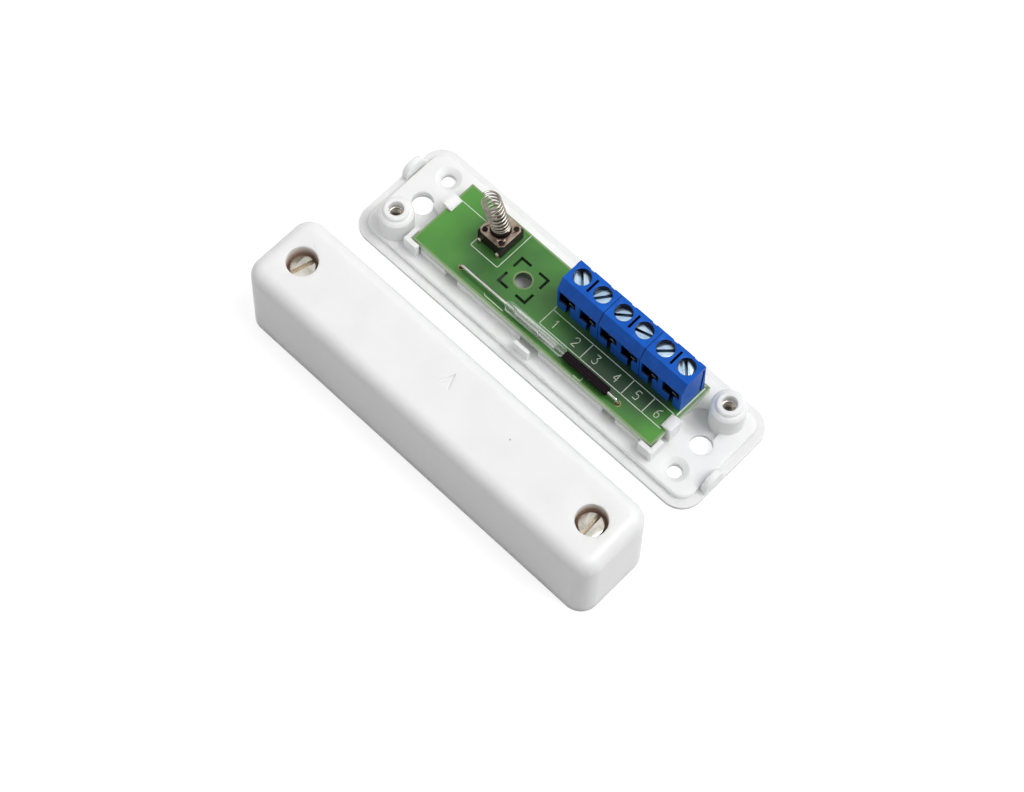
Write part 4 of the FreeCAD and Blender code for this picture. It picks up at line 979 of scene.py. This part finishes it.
# %% [markdown]
# The light is a wide soft one from the upper right of the picture, with an even fill all round.
# The object's top is therefore brightest and the long sides that face the camera are grey. The
# room is dark behind the photographer, which makes the upright corner that faces the camera the
# darkest of all. What the metals mirror is a tent that is white overhead and darker towards the
# horizon. Without that change a small round wire would mirror plain white everywhere and look flat.

# %% Light
FILL = 0.64
TENT_LOW = 0.2
TENT_TOP = 0.9
KEY = 1.85
KEY_SPREAD = 35
KEY_FROM = Vector((0.45, 0.30, 0.84))
DARK_SIDE = (0.66, -0.75, 0.0)
DARK_FROM = 0.45
DARK_FULL = 0.95


def make_light():
    world = bpy.data.worlds.new("studio")
    bpy.context.scene.world = world
    world.use_nodes = True
    nodes_of = world.node_tree.nodes
    links = world.node_tree.links
    rays = nodes_of.new("ShaderNodeLightPath").outputs
    height = nodes_of.new("ShaderNodeSeparateXYZ")
    links.new(nodes_of.new("ShaderNodeTexCoord").outputs["Generated"], height.inputs[0])
    tent = ramp(nodes_of, links, height.outputs["Z"], 0.0, TENT_TOP, TENT_LOW, 1.0)
    mirrored = calc(nodes_of, links, "SUBTRACT", tent, FILL)
    mirrored = calc(nodes_of, links, "MULTIPLY", mirrored, rays["Is Glossy Ray"])
    around = calc(nodes_of, links, "ADD", mirrored, FILL)
    toward = nodes_of.new("ShaderNodeVectorMath")
    toward.operation = "DOT_PRODUCT"
    toward.inputs[1].default_value = DARK_SIDE
    links.new(height.inputs[0].links[0].from_socket, toward.inputs[0])
    open_side = ramp(nodes_of, links, toward.outputs["Value"], DARK_FROM, DARK_FULL, 1.0, 0.0)
    around = calc(nodes_of, links, "MULTIPLY", around, open_side)
    clear = calc(nodes_of, links, "MAXIMUM", rays["Is Camera Ray"], rays["Is Transmission Ray"])
    strength = calc(nodes_of, links, "MAXIMUM", around, clear)
    nodes_of["Background"].inputs["Color"].default_value = (1, 1, 1, 1)
    links.new(strength, nodes_of["Background"].inputs["Strength"])
    sun = bpy.data.lights.new("key", "SUN")
    sun.energy = KEY
    sun.angle = math.radians(KEY_SPREAD)
    lamp = bpy.data.objects.new("key", sun)
    lamp.rotation_mode = "QUATERNION"
    lamp.rotation_quaternion = KEY_FROM.to_track_quat("Z", "Y")
    bpy.context.scene.collection.objects.link(lamp)


make_light()
print("key light:", KEY, "fill:", FILL)

# %% [markdown]
# The camera stands where the photographer's did. Its place and direction come from the corners
# of both units in the picture, and its long lens keeps the far ends nearly as large as the near.

# %% Camera
CAMERA_PLACE = Vector((127.1, -144.15, 417.0)) * MM
CAMERA_FORWARD = Vector((-0.2769, 0.3132, -0.9084)).normalized()
CAMERA_RIGHT = Vector((0.7206, 0.6931, 0.0193))
FOCAL_PIXELS = 2500
PICTURE = (1024, 792)
AIM_PIXEL = (507.5, 372.5)
SENSOR_WIDTH = 36


def make_camera():
    data = bpy.data.cameras.new("camera")
    data.sensor_width = SENSOR_WIDTH
    data.lens = FOCAL_PIXELS / PICTURE[0] * data.sensor_width
    data.shift_x = (PICTURE[0] / 2 - AIM_PIXEL[0]) / PICTURE[0]
    data.shift_y = (AIM_PIXEL[1] - PICTURE[1] / 2) / PICTURE[0]
    camera = bpy.data.objects.new("camera", data)
    right = (CAMERA_RIGHT - CAMERA_FORWARD * CAMERA_RIGHT.dot(CAMERA_FORWARD)).normalized()
    up = right.cross(CAMERA_FORWARD)
    turn = Matrix((right, up, -CAMERA_FORWARD)).transposed().to_4x4()
    camera.matrix_world = Matrix.Translation(CAMERA_PLACE) @ turn
    bpy.context.scene.collection.objects.link(camera)
    bpy.context.scene.camera = camera
    bpy.context.scene.view_settings.view_transform = "Standard"


make_camera()
print("lens in mm:", round(bpy.context.scene.camera.data.lens, 1))
